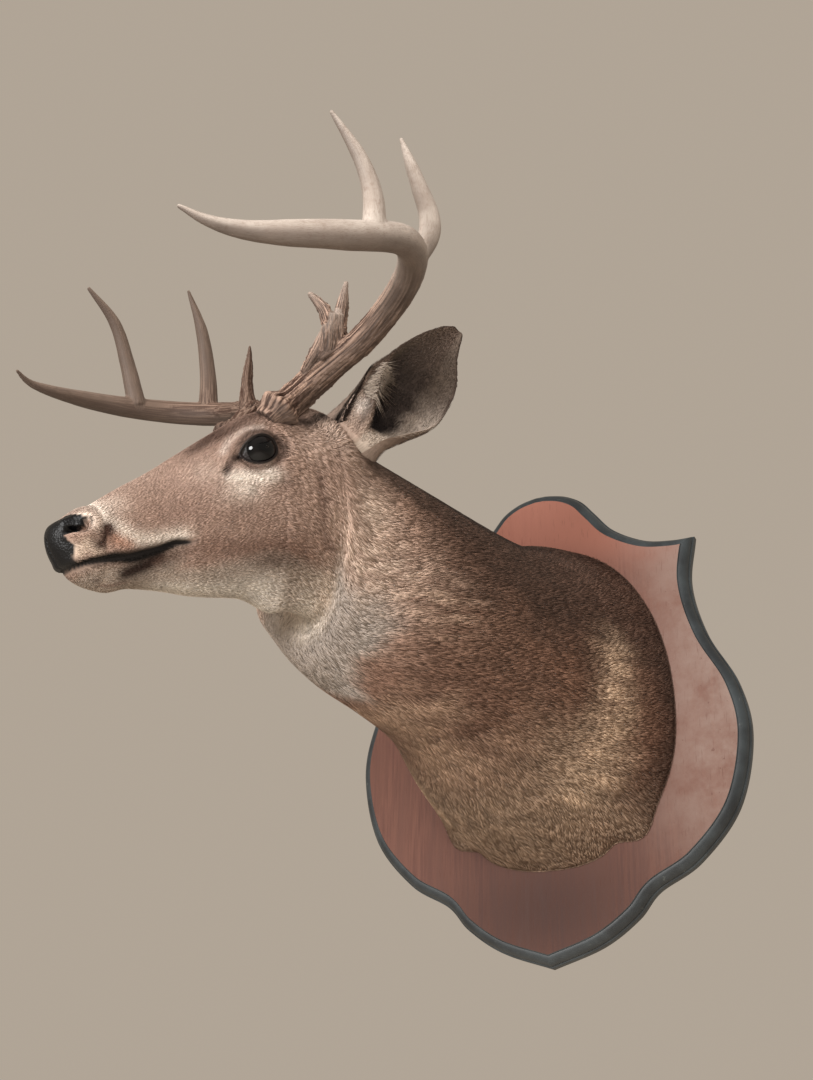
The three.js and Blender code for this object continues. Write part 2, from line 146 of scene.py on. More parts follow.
def make_mesh(name, points, face_sets, materials):
    """A mesh from points in millimetres and arrays of faces, one array for each number of corners."""
    mesh = bpy.data.meshes.new(name)
    points = np.asarray(points, float) * 0.001
    corners = np.concatenate([faces.ravel() for faces in face_sets]).astype(np.int32)
    sizes = np.concatenate([np.full(len(faces), faces.shape[1]) for faces in face_sets])
    mesh.vertices.add(len(points))
    mesh.vertices.foreach_set("co", points.astype(np.float32).ravel())
    mesh.loops.add(len(corners))
    mesh.loops.foreach_set("vertex_index", corners)
    mesh.polygons.add(len(sizes))
    mesh.polygons.foreach_set("loop_start", np.concatenate([[0], np.cumsum(sizes)[:-1]]).astype(np.int32))
    mesh.polygons.foreach_set("use_smooth", np.ones(len(sizes), bool))
    mesh.update(calc_edges=True)
    for material in materials:
        mesh.materials.append(material)
    piece = bpy.data.objects.new(name, mesh)
    bpy.context.scene.collection.objects.link(piece)
    return piece


def make_camera():
    data = bpy.data.cameras.new("camera")
    data.lens = 49.70
    data.sensor_width = 36.0
    camera = bpy.data.objects.new("camera", data)
    across = (0.89623, 0.44312, 0.02038)
    rise = (0.17216, -0.38981, 0.90466)
    back = (0.40881, -0.80728, -0.42565)
    stand = (0.531137, -1.387183, -0.493704)
    columns = zip(across, rise, back, stand)
    camera.matrix_world = Matrix([*(list(row) for row in columns), [0, 0, 0, 1]])
    bpy.context.scene.collection.objects.link(camera)
    bpy.context.scene.camera = camera


def make_lamp(name, place, aim, size, power, colour, mirrored):
    data = bpy.data.lights.new(name, "AREA")
    data.shape = "DISK"
    data.size = size
    data.energy = power
    data.color = colour
    lamp = bpy.data.objects.new(name, data)
    lamp.location = place
    gaze = Matrix.Identity(3).col[0].copy()
    gaze.xyz = [a - p for a, p in zip(aim, place)]
    lamp.rotation_euler = gaze.to_track_quat("-Z", "Y").to_euler()
    lamp.visible_glossy = mirrored
    bpy.context.scene.collection.objects.link(lamp)


def make_room():
    floor_finish, flow, shader = new_finish("pale_floor", Roughness=0.9)
    speckle = noise(flow, placed(flow), 3.0).step(0.3, 0.7)
    feed(shader, Base_Color=speckle.tint(paint(222, 214, 202), paint(228, 221, 210)))
    half, level = 6000, -1900
    corners = [[-half, -half, level], [half, -half, level], [half, half, level], [-half, half, level]]
    floor = make_mesh("floor", corners, [np.array([[0, 1, 2, 3]])], [floor_finish])
    floor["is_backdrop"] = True
    world = bpy.data.worlds.new("room")
    world.use_nodes = True
    sky = world.node_tree.nodes["Background"]
    sky.inputs["Color"].default_value = paint(225, 210, 192)
    sky.inputs["Strength"].default_value = 0.58
    bpy.context.scene.world = world
    make_lamp("lamp_above", (-0.5, -1.6, 2.9), (0, -0.3, 0), 2.0, 90, (1.0, 0.98, 0.96), False)
    make_lamp("lamp_front", (-0.84, -2.9, 0.05), (0, -0.4, 0), 0.9, 60, (1.0, 0.99, 0.98), True)
    make_lamp("lamp_side", (1.6, -2.8, 0.4), (0, -0.2, 0), 1.8, 60, (1.0, 0.99, 0.98), False)
    bpy.context.scene.view_settings.view_transform = "Standard"


make_camera()
make_room()


# ------------------------------------------------------------------ the plaque
# A shield-shaped hardwood board with two sharp ears at the top, stained mahogany on the face.
# A hollow moulding is run round the edge with a router and painted a greenish black.
BOARD_THICKNESS = 19
BOARD_CREST = [[0, 254], [9, 253.5], [27, 249], [45, 238.5], [60, 221], [80, 198], [112, 180], [141, 174.5],
               [167, 174]]
BOARD_FLANK = [[167, 174], [160, 122], [173, 66], [201, 10], [210, -46], [193, -114], [152, -163],
               [110, -188], [88, -212], [52, -236], [0, -254]]


def smooth_at(rows, t):
    """Smooth (Catmull-Rom) reading of a table at places between its rows."""
    rows = np.asarray(rows, float)
    padded = np.concatenate([[2 * rows[0] - rows[1]], rows, [2 * rows[-1] - rows[-2]]])
    i = np.clip(np.floor(t).astype(int), 0, len(rows) - 2)
    w = t - i
    w = w[..., None] if rows.ndim > 1 else w
    a, b, c, d = (padded[i + k] for k in range(4))
    return b + 0.5 * w * (c - a + w * (2 * a - 5 * b + 4 * c - d + w * (3 * (b - c) + d - a)))


def spline(points, steps):
    """A smooth curve through points, with the same number of steps between each pair."""
    return smooth_at(points, np.linspace(0, len(points) - 1, steps + 1))


def unit(vectors, tiny=0.0):
    return vectors / (np.linalg.norm(vectors, axis=-1)[..., None] + tiny)


def inset(outline, distance):
    """The outline moved inwards, mitred at its corners."""
    before = unit(outline - np.roll(outline, 1, 0))
    after = unit(np.roll(outline, -1, 0) - outline)
    inwards = unit(np.stack([before[:, 1] + after[:, 1], -before[:, 0] - after[:, 0]], 1))
    mitre = np.maximum(inwards[:, 0] * before[:, 1] - inwards[:, 1] * before[:, 0], 0.5)
    moved = outline + inwards * (distance / mitre)[:, None]
    for corner in np.flatnonzero(mitre < 0.97):
        reach = distance * math.sqrt(1 - mitre[corner] ** 2) / mitre[corner]
        close = np.linalg.norm(outline - outline[corner], axis=1) < reach * 1.05
        moved[close] = moved[corner] + (moved[close] - moved[corner]) * 0.001
    return moved


def loft_faces(rings, count, start=0):
    """Quads between rings of equal count, wound to face out where rings run right-handed."""
    r, k = np.meshgrid(np.arange(rings - 1), np.arange(count), indexing="ij")
    a = start + r * count + k
    b = start + r * count + (k + 1) % count
    return np.stack([a, b, b + count, a + count], -1).reshape(-1, 4)


def fan_faces(hub, ring_start, count, turn=1):
    k = np.arange(count)
    return np.stack([np.full(count, hub), ring_start + k, ring_start + (k + 1) % count], 1)[:, ::turn]


def closed_loft(rings, count, start=0):
    """Quads between rings, and fans to the two hub points that follow them."""
    hub = start + rings * count
    ends = [fan_faces(hub, start, count), fan_faces(hub + 1, hub - count, count, -1)]
    return loft_faces(rings, count, start), np.vstack(ends)


def read_vectors(items, field, kind=np.float32):
    """Three numbers for each vertex or triangle, as one row each."""
    values = np.empty(len(items) * 3, kind)
    items.foreach_get(field, values)
    return values.reshape(-1, 3)


def recalc_outward(piece):
    """Turns a closed mesh's faces to point out."""
    points = read_vectors(piece.data.vertices, "co")
    piece.data.calc_loop_triangles()
    triangles = read_vectors(piece.data.loop_triangles, "vertices", np.int32)
    a, b, c = (points[triangles[:, k]] for k in range(3))
    if np.einsum("ij,ij->", a, np.cross(b, c)) < 0:
        piece.data.flip_normals()


def make_plaque():
    half = np.vstack([spline(BOARD_CREST, 64)[:-1], spline(BOARD_FLANK, 200)])
    outline = np.vstack([half, half[-2:0:-1] * [-1, 1]])
    turns = np.linspace(0, math.pi / 2, 9)
    hollow = [(1.6 + 8.4 * (1 - math.cos(a)), 8.6 + 9.2 * math.sin(a)) for a in turns]
    # distance in from the edge and depth from the back
    profile = [(0.7, 0), (0, 0.7), (0, 7.6), (0.5, 8.2), *hollow, (10.4, 18.6), (11, BOARD_THICKNESS)]
    rings = [inset(outline, inwards) for inwards, depth in profile]
    points = [np.insert(ring, 1, -depth, axis=1) for ring, (_, depth) in zip(rings, profile)]
    count = len(outline)
    points = np.vstack([*points, [[0, 0, 0], [0, -BOARD_THICKNESS, 0]]])
    sides, ends = closed_loft(len(profile), count)
    board = make_mesh("plaque", points, [sides, ends], [black_edge(), stained_face(), raw_back()])
    slots = np.zeros(len(board.data.polygons), np.int32)
    slots[-count:] = 1
    slots[len(sides):-count] = 2
    board.data.polygons.foreach_set("material_index", slots)
    recalc_outward(board)
    board.data.set_sharp_from_angle(angle=math.radians(28))
    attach(board, "root")
    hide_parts("plaque_board")


def stained_face():
    material, flow, shader = new_finish("mahogany_face", Specular_IOR_Level=0.2)
    grain = noise(flow, placed(flow, (1, 1, 0.045)), 330.0, 6.0, 0.62)
    figure = noise(flow, placed(flow, (1, 1, 0.12)), 22.0, 3.0)
    pores = noise(flow, placed(flow, (1, 1, 0.06)), 900.0, 2.0).step(0.62, 0.72)
    wood = grain.step(0.3, 0.7).tint(paint(88, 57, 49), paint(112, 77, 66))
    wood = figure.step(0.35, 0.68).tint(wood, paint(102, 70, 60))
    place = flow.node("ShaderNodeSeparateXYZ", {}, {0: placed(flow)})
    right = Flow(flow.tree, place.socket.node.outputs[0])
    level = Flow(flow.tree, place.socket.node.outputs[2])
    crest = level.step(0.13, 0.2)
    wood = (crest * 0.75).tint(wood, paint(148, 98, 84))
    dust = right.step(0.06, 0.19) * (level + 0.22).step(0.0, 0.12)
    cloud = noise(flow, placed(flow), 14.0, 6.0, 0.7)
    wood = (dust * cloud.step(0.25, 0.62) * 0.75 + dust * 0.15).tint(wood, paint(130, 112, 104))
    # painted shadow: the face is darkened low in the middle, below the hide, where the body shades the board
    low = (right.spot(0.0, 0.13) + level.spot(-0.2, 0.075)) * -1.0
    wood = (low.maths("EXPONENT", low, 0.0) * 0.8).tint(wood, paint(58, 40, 36))
    specks = noise(flow, placed(flow), 210.0, 3.0).step(0.64, 0.74)
    wood = (specks * (dust * 0.6 + 0.12)).tint(wood, paint(92, 64, 56))
    wood = (pores * 0.4).tint(wood, paint(84, 54, 45))
    height = grain * 0.5 + pores * -0.6 + specks * dust * 0.6
    feed(shader, Base_Color=wood, Roughness=grain.step(0.2, 0.8) * 0.12 + dust * 0.15 + 0.55)
    feed(shader, Normal=bump(flow, height, 0.35, 0.0004))
    return material


def raw_back():
    material, flow, shader = new_finish("raw_back", Roughness=0.75)
    grain = noise(flow, placed(flow, (1, 1, 0.05)), 300.0, 6.0, 0.6)
    cloud = noise(flow, placed(flow, (1, 1, 0.3)), 12.0, 3.0)
    wood = grain.step(0.3, 0.7).tint(paint(168, 132, 98), paint(196, 163, 128))
    feed(shader, Base_Color=(cloud.step(0.35, 0.7) * 0.5).tint(wood, paint(150, 114, 84)))
    feed(shader, Normal=bump(flow, grain, 0.3, 0.0004))
    return material


def black_edge():
    material, flow, shader = new_finish("black_edge", Coat_Weight=0.15, Coat_Roughness=0.3)
    cloud = noise(flow, placed(flow), 30.0, 5.0, 0.6)
    streak = noise(flow, placed(flow), 400.0, 3.0)
    paint_coat = cloud.step(0.3, 0.7).tint(paint(31, 35, 38), paint(50, 56, 59))
    scuffs = noise(flow, placed(flow), 90.0, 6.0, 0.75).step(0.63, 0.72)
    paint_coat = (scuffs * 0.5).tint(paint_coat, paint(104, 108, 103))
    feed(shader, Base_Color=paint_coat, Roughness=cloud * 0.2 + streak * 0.1 + 0.36)
    feed(shader, Normal=bump(flow, streak + cloud, 0.15, 0.0006))
    return material


make_plaque()


# ------------------------------------------------------------------ the hide
# One tanned deer hide drawn over a foam form: neck, head and closed mouth in one piece. It is
# sewn behind the antlers, tucked round the glass eyes and stapled to the board at the back.
HEAD_ORIGIN = np.array([-145, -396, 137.0])
HEAD_POSE = (31, 17, 7)  # turn, drop and roll in degrees
# ahead, shift, top, bottom, half width, widest level, squareness above and below
HEAD_SECTIONS = [
    [150, 0, -37, -106, 31, -70, 2.3, 2.3],
    [120, 0, -21, -108, 34, -62, 2.3, 2.2],
    [90, 0, -7, -112, 38, -55, 2.2, 2.1],
    [60, 0, 9, -118, 45, -44, 2.2, 2.0],
    [30, 0, 25, -121, 54, -30, 2.3, 1.9],
    [0, 0, 40, -122, 60, -18, 2.5, 1.8],
    [-30, -2, 49, -125, 65, -22, 2.5, 1.9],
    [-60, -8, 52, -140, 75, -38, 2.3, 2.0],
]
# centre, turn, drop, roll, height above and below it, half width, squareness above and below
NECK_SECTIONS = [
    [-121, -306, 98, 25, 8, 5, 97, 110, 88, 2.3, 2.0],
    [-91, -256, 79, 21, -6, 4, 98, 119, 97, 2.1, 2.0],
    [-57, -200, 57, 16, -17, 3, 105, 123, 99, 2.1, 2.0],
    [-34, -135, 37, 10, -15, 2, 126, 126, 104, 2.1, 2.1],
    [-18, -75, 12, 5, -7, 1, 165, 143, 122, 2.1, 2.1],
    [5, -19, -16, 0, 0, 0, 197, 149, 137, 2.1, 2.2],
]
# ahead, left, up, radius and rise of the swells and hollows on both sides of the head
HEAD_FORMS = [
    [5, 56, 4, 30, 6], [8, 60, -2, 18, -14], [4, 44, 30, 20, 4], [52, 42, -45, 24, 4],
    [-28, 54, -72, 34, 5], [100, 36, -45, 26, -3], [158, 24, -56, 13, 4], [167, 17, -57, 7, -5],
    [175, 7, -39, 12, -3.5], [128, 32, -84, 20, 3], [140, 6, -104, 13, 2.5], [-13, 8, -128, 19, 9],
    [-45, 8, -138, 24, 6], [-55, 90, -120, 24, 7],
    [-25, 45, 37, 16, -2], [-90, 60, 12, 26, 12], [-86, 46, 44, 24, 18],
]
# place, radius and rise of the corners at the lower edge of the hide
HIDE_CORNERS = [
    [103, -19, -137, 22, 11], [-98, -19, -132, 22, 10],
    [76, -19, -144, 14, -7], [-76, -19, -140, 14, -6],
]
NOSE_LENGTH, NOSE_LIFT = 38, 6
HIDE_STAND_OFF = 0.2  # between the hide and the board


def section_frame(turn, drop, roll):
    """The left and up directions of a section, and the way it faces."""
    y, p, r = (np.radians(np.asarray(a, float))[..., None] for a in (turn, drop, roll))
    forward = np.concatenate([-np.sin(y) * np.cos(p), -np.cos(y) * np.cos(p), -np.sin(p)], -1)
    level = np.concatenate([np.cos(y), -np.sin(y), 0 * y], -1)
    left = level * np.cos(r) - np.cross(forward, level) * np.sin(r)
    return forward, left, np.cross(forward, left)


HEAD_AXES = np.array(section_frame(*HEAD_POSE))


def from_head(places):
    return HEAD_ORIGIN + np.asarray(places, float) @ HEAD_AXES


def to_head(points):
    return (points - HEAD_ORIGIN) @ HEAD_AXES.T


def on_left(place):
    """The matching place on the animal's left side."""
    return np.concatenate([place[..., :1], np.abs(place[..., 1:2]), place[..., 2:]], -1)


def degrees_round(angle):
    """How far round the body from its top line, 0 to 180 on either side."""
    return np.abs((angle + math.pi) % (2 * math.pi) - math.pi) * 180 / math.pi


def section_rows():
    rows = []
    for ahead, shift, top, bottom, half, widest, *square in HEAD_SECTIONS:
        centre = from_head([ahead, shift, widest])
        rows.append([*centre, *HEAD_POSE, top - widest, widest - bottom, half, *square])
    return np.array(rows + NECK_SECTIONS, float)


SECTION_ROWS = section_rows()


def form_height(points):
    mirrored = on_left(to_head(points))
    height = np.zeros(points.shape[:-1])
    for ahead, left, up, radius, rise in HEAD_FORMS:
        for spot in (mirrored, mirrored * [1, -1, 1]):
            gap = ((spot - [ahead, left, up]) ** 2).sum(-1)
            height += rise * np.exp(-gap / radius ** 2)
    for x, y, z, radius, rise in HIDE_CORNERS:
        height += rise * np.exp(-((points - [x, y, z]) ** 2).sum(-1) / radius ** 2)
    return height


def body_surface(t, angle, sink):
    """Places on the form at positions t along it and angles round it, sunk by the coat's depth."""
    row = smooth_at(SECTION_ROWS, np.maximum(t, 0))
    _, left, up = section_frame(row[..., 3], row[..., 4], row[..., 5])
    turn = np.maximum(-t, 0) * math.pi / 2
    s, c = np.sin(angle), np.cos(angle)
    closing = np.cos(turn) ** 1.1
    height = np.where(c >= 0, row[..., 6], row[..., 7])
    square = np.where(c >= 0, row[..., 9], row[..., 10])
    reach = (np.abs(s / row[..., 8]) ** square + np.abs(c / height) ** square) ** (-1 / square)
    out = left * s[..., None] + up * c[..., None]
    nose = HEAD_AXES[0] * (NOSE_LENGTH * np.sin(turn))[..., None]
    nose = nose + HEAD_AXES[2] * (NOSE_LIFT * np.sin(turn) ** 2)[..., None]
    plain = row[..., :3] + nose + out * (reach * closing)[..., None]
    lift = (form_height(plain) - sink) * np.minimum(closing * 2, 1)
    return plain + out * lift[..., None]


def ease(low, high, value):
    w = np.clip((value - low) / (high - low), 0, 1)
    return w * w * (3 - 2 * w)


def blob(place, centre, size):
    """A soft spot: 1 at its centre, fading over its size."""
    return np.exp(-(((place - np.array(centre)) / np.array(size)) ** 2).sum(-1))


# the ball, then the opening between the lids as seen from the side
EYE_BALL = np.array([4, 48, -1.5])
EYE_RADIUS, EYE_GAP = 16.5, 0.45
LID_MIDDLE, LID_HALF, LID_ABOVE, LID_BELOW = (6.5, -2.5), 17.0, 13.5, 12.0


def lid_reach(place):
    """0 in the middle of the eye's opening, 1 on the edge of the lids."""
    x = np.abs(place[..., 0] - LID_MIDDLE[0]) / LID_HALF
    rise = place[..., 2] - LID_MIDDLE[1] - 0.10 * (LID_MIDDLE[0] - place[..., 0])
    y = np.abs(rise) / np.where(rise > 0, LID_ABOVE, LID_BELOW)
    return np.sqrt(x ** 2 + y ** 1.55 + 1e-9)


def mouth_level(ahead):
    places = [60, 76, 87, 94, 103, 112, 122, 130, 148, 163, 175, 190]
    return np.interp(ahead, places, [-78, -77.6, -76.8, -78, -80.2, -82.2, -84.3, -86, -87, -89, -90.8, -93])


def tuck_eye(place, side):
    """Moves the hide round one eye: lids that lie on the ball, a fold above, a slit in front."""
    ahead, left, up = (place[..., k] * (side if k == 1 else 1) for k in range(3))
    near = np.stack([ahead, left, up], -1)
    reach = lid_reach(near)
    close = (np.linalg.norm(near - [6, 54, -2], axis=-1) < 42) & (left > 15)
    eased = 1 + np.sign(reach - 1) * np.abs((reach - 1) / 0.3) ** 1.7 * 0.3
    drawn = np.where(np.abs(reach - 1) < 0.3, eased, reach)
    ratio = np.where(close, drawn / reach, 1.0)
    ahead = LID_MIDDLE[0] + (ahead - LID_MIDDLE[0]) * ratio
    up = LID_MIDDLE[1] + (up - LID_MIDDLE[1]) * ratio
    from_ball = np.hypot(ahead - EYE_BALL[0], up - EYE_BALL[2]) / EYE_RADIUS
    inside = np.sqrt(np.maximum(1 - np.minimum(from_ball, 0.85) ** 2, 0))
    dome = EYE_BALL[1] + EYE_RADIUS * (inside - 1.61 * np.maximum(from_ball - 0.85, 0))
    dome = np.maximum(dome, left - 6.0)
    lip = dome + 2.1 - 3.4 * (1 - ease(0.9, 1.0, drawn))
    hold = 1 - ease(1.06, 1.75, drawn)
    new_left = left + (lip - left) * hold
    new_left = new_left - 1.6 * np.exp(-((drawn - 1.62) / 0.13) ** 2) * ease(-2, 8, up)
    new_left = new_left + 1.0 * np.exp(-((drawn - 1.32) / 0.16) ** 2)
    slit = np.exp(-((ahead - 39.5 + 0.45 * (up + 19)) / 1.8) ** 2 - ((up + 19) / 8) ** 2)
    new_left = new_left - 4.0 * slit
    moved = np.stack([ahead, new_left * side, up], -1)
    return np.where(close[..., None], moved, place)


def near_path(place, path, width):
    """A soft line: 1 on the path, fading over its width."""
    path = np.array(path, float)
    gap = np.full(place.shape[:-1], 1e9)
    for start, end in zip(path[:-1], path[1:]):
        run = end - start
        share = np.clip(((place - start) @ run) / (run @ run), 0, 1)[..., None]
        gap = np.minimum(gap, ((place - start - share * run) ** 2).sum(-1))
    return np.exp(-gap / width ** 2)


NOSTRIL = [(176, 20.5, -59.5), (171, 25, -61), (167, 28, -61.5), (163.5, 29.8, -59.5), (162.8, 29.5, -55.5)]


def shape_muzzle(place):
    """Cuts the mouth line and the nostrils and sets the lower lip back under the upper one."""
    ahead, side, up = place[..., 0], np.sign(place[..., 1]), place[..., 2]
    left = np.abs(place[..., 1])
    level = mouth_level(ahead)
    along = ease(66, 84, ahead)
    groove = np.exp(-((up - level) / 1.7) ** 2) * along
    below = (1 - ease(level - 3.0, level, up)) * along * ease(-112, -96, up)
    roll = np.exp(-((up - level - 5.0) / 3.2) ** 2) * along
    middle = np.stack([np.minimum(ahead, 150), 0 * left, np.full_like(ahead, -68.0)], -1)
    spot = np.stack([ahead, left, up], -1)
    inward = middle - spot
    inward /= np.linalg.norm(inward, axis=-1)[..., None] + 1e-9
    depth = 3.6 * groove + 1.8 * below - 0.9 * roll
    hole = near_path(spot, NOSTRIL, 3.3)
    depth = depth + 8.5 * ease(0.35, 0.9, hole)
    wing = [(178, 16, -53), (171, 22, -49.5), (165, 26, -49), (159, 31, -54), (158.5, 31.5, -61)]
    wing = near_path(spot, wing, 3.6)
    wing = wing + 0.8 * near_path(spot, [(178, 19, -66), (170, 27, -67), (163, 31, -66)], 3.5)
    depth = depth - 2.0 * wing * (1 - ease(0.15, 0.5, hole))
    philtrum = np.exp(-(left / 1.6) ** 2) * ease(172, 180, ahead) * (1 - ease(-66, -60, up))
    depth = depth + 1.4 * philtrum
    spot = spot + inward * depth[..., None]
    spot[..., 1] *= np.where(side == 0, 1, side)
    return spot


def coat_depth(t):
    places = [-1, -0.2, 1, 3, 5, 7.5, 9, 11, 12.8, 12.9, 13]
    return np.interp(t, places, [0, 0.4, 0.8, 1.1, 1.4, 2.2, 3.2, 3.4, 3.0, 3.0, 4.2])


def lie_grid():
    """Positions and angles of the hide's rings: closest together over the face."""
    nose = -np.cos(np.linspace(0.0, math.pi / 2, 34)[1:-1]) ** 0.9
    face = np.linspace(0, 6.6, 170)
    neck = np.linspace(6.6, 13, 116)[1:]
    t = np.concatenate([[-0.999], nose, face, neck])
    turn = np.linspace(0, 2 * math.pi, 257)[:-1]
    angle = turn + 0.18 * np.sin(2 * turn)
    return t, angle


def hide_points(t, angle):
    points = body_surface(t, angle, coat_depth(t))
    place = shape_muzzle(to_head(points))
    place = tuck_eye(tuck_eye(place, 1), -1)
    points = from_head(place)
    points[..., 1] = np.minimum(points[..., 1], -BOARD_THICKNESS - HIDE_STAND_OFF)
    return points


def mottle(points, size, seed):
    """A smooth random field from -1 to 1 with clouds about the given size."""
    rng = np.random.default_rng(seed)
    total = 0
    for _ in range(9):
        wave = rng.normal(size=3) * 2.2 / size
        total = total + np.sin(points @ wave + rng.uniform(0, 2 * math.pi))
    return total / 4.5


def shade(colour, weight, red, green, blue):
    weight = np.clip(weight, 0, 1)[..., None]
    return colour + (np.array(paint(red, green, blue)[:3]) - colour) * weight


def streaks(t, round_, size, seed):
    """Mottling drawn out along the lie of the neck's hair."""
    back, around = t * 60, round_ * 1.75
    lie = np.stack([0.2 * (0.87 * back - 0.5 * around), 0.5 * back + 0.87 * around, 0 * t], -1)
    return mottle(lie, size, seed)


def neck_marks(natural, cloud, streak):
    """Neck and shoulders, from the head back to the board, with a painted highlight on the shoulder and
    painted shade along the rear edge.
    """
    t, round_ = np.moveaxis(natural, -1, 0)
    yield ease(7.6, 8.8, t + 0.2 * cloud) * 0.9, (160, 129, 112)
    yield ease(8.6, 9.6, t + 0.25 * cloud), (121, 92, 77)
    yield ease(10.4, 11.6, t + 0.3 * cloud) * 0.8, (124, 91, 74)
    dorsal = np.interp(t, [7.4, 8.2, 8.8, 9.4, 10.5, 11.4, 12, 13], [26, 50, 74, 90, 96, 92, 88, 92])
    shadow = ease(7.6, 8.6, t) * (1 - ease(dorsal * 0.78, dorsal * 1.22, round_ + 7 * cloud))
    yield shadow * 0.85, (82, 62, 53)
    yield ease(7.2, 8.2, t) * (1 - ease(14, 46, round_)) * 0.65, (60, 46, 40)
    crest = np.interp(t, [8, 8.7, 9.1, 9.7, 10.4, 11], [36, 45, 48, 52, 45, 28])
    crest_line = ease(8.1, 8.5, t) * (1 - ease(11, 11.6, t)) * (1 - ease(crest - 4, crest + 3, round_))
    yield crest_line * 0.75, (36, 28, 25)
    yield ease(10.6, 11.8, t) * ease(112, 142, round_ + 8 * cloud), (148, 124, 105)
    yield blob(natural, (12.3, 178), (0.6, 24)) * 0.5, (160, 136, 114)
    front = ease(9.2, 9.9, t) * (1 - ease(11.0, 11.6, t)) * ease(148, 172, round_ + 10 * cloud)
    yield front * 0.8, (182, 152, 130)
    band = ease(62, 88, round_) * (1 - ease(142, 160, round_))
    dark = np.exp(-((t - 11.25 - 0.0107 * (round_ - 78)) / 0.22) ** 2)
    dark = dark * ease(60, 74, round_) * (1 - ease(120, 142, round_))
    yield dark * 0.5, (82, 60, 50)
    # painted highlight: a pale band of sheen across the shoulder, where light catches the hair
    sheen = np.exp(-((t - 11.94 - 0.0015 * (round_ - 96) + 0.06 * cloud) / 0.3) ** 2)
    sheen = sheen * band * (0.8 + 0.4 * streak)
    yield sheen * 0.95, (200, 172, 146)
    # painted shade: the rear edge of the neck darkens where the hide meets the board
    yield ease(12.4, 12.85, t) * (1 - ease(120, 150, round_)) * 0.8, (70, 53, 45)


def throat_marks(natural, cloud, streak):
    """The throat patch, and the cream flecks behind the cheek."""
    t, round_ = np.moveaxis(natural, -1, 0)
    reach = 0.5 * ease(160, 180, round_)
    throat = ease(6.4, 7.2, t) * (1 - ease(8.45 + reach, 9.1 + reach, t + 0.2 * cloud))
    throat = throat * ease(116, 142, round_ + 6 * cloud)
    yield throat * 0.85, (168, 159, 151)
    yield blob(natural, (8.0, 84), (0.4, 15)) * 0.9, (232, 208, 190)
    yield blob(natural, (9.5, 96), (0.35, 9)) * 0.55, (84, 62, 52)
    yield blob(natural, (7.2, 180), (0.3, 34)) * 0.55, (220, 205, 190)
    flecked = blob(natural, (8.0, 114), (1.1, 20))
    yield flecked * (0.6 + 0.5 * streak), (222, 199, 182)
    yield blob(natural, (9.25, 116), (0.6, 14)) * (0.2 + 0.4 * streak), (190, 162, 140)


def face_marks(spot, head, fine):
    """Forehead, brow, cheeks and the white round the eye, with painted shade in the creases behind the eye.
    """
    yield head * blob(spot, (34, 18, 20), (40, 20, 15)) * 0.95, (78, 58, 50)
    yield head * blob(spot, (0, 22, 42), (34, 28, 16)) * 0.85, (96, 72, 62)
    brow = near_path(spot, [(56, 22, 5), (40, 27, 13), (32, 35, 16), (16, 42, 26), (0, 46, 32)], 8.5)
    yield head * brow * 0.78, (84, 63, 54)
    yield head * blob(spot, (116, 8, -18), (36, 24, 20)) * 0.5, (192, 166, 151)
    yield head * near_path(spot, [(100, 36, -56), (78, 40, -50), (58, 47, -46)], 11) * 0.4, (150, 121, 107)
    yield head * blob(spot, (58, 44, -20), (18, 18, 13)) * 0.6, (206, 184, 170)
    low = near_path(spot, [(64, 38, -84), (35, 42, -87), (10, 43, -88), (-10, 42, -92), (-28, 39, -101)], 9.5)
    yield head * low * 0.65, (132, 103, 89)
    yield blob(spot, (-12, 43, -88), (24, 20, 16)) * 0.65, (110, 82, 69)
    yield head * blob(spot, (-8, 60, -48), (24, 24, 18)) * 0.25, (180, 152, 137)
    # painted shade in the vertical creases between the eye and the ear
    rows = near_path(spot, [(-38, 65, -22), (-40, 65, -42), (-39, 60, -66), (-44, 54, -86)], 5)
    yield rows * (0.55 + 0.3 * fine), (108, 83, 72)
    yield blob(spot, (-40, 60, 3), (17, 20, 15)) * 0.8, (216, 188, 172)
    white = near_path(spot, [(38, 54, -28), (30, 55, -28), (15, 58, -29), (2, 59.5, -24)], 8.0)
    white = np.maximum(white, 0.8 * blob(spot, (29, 55, -37), (15, 16, 8)))
    yield head * blob(spot, (34, 54, -45), (26, 16, 9)) * 0.55, (216, 192, 177)
    yield head * white, (246, 232, 219)
    yield blob(spot, (-7, 60, -31), (9, 14, 9)) * 0.5, (118, 95, 84)
    yield blob(spot, (-25, 62, -30), (9, 14, 10)) * 0.45, (198, 170, 154)
    arc = [(40, 44.6, -3), (37, 44.5, 1), (31.7, 43.5, 8), (22, 45.5, 15), (14, 49.5, 18), (2, 55, 19)]
    yield head * near_path(spot, arc, 3.8) * 0.85, (222, 203, 191)


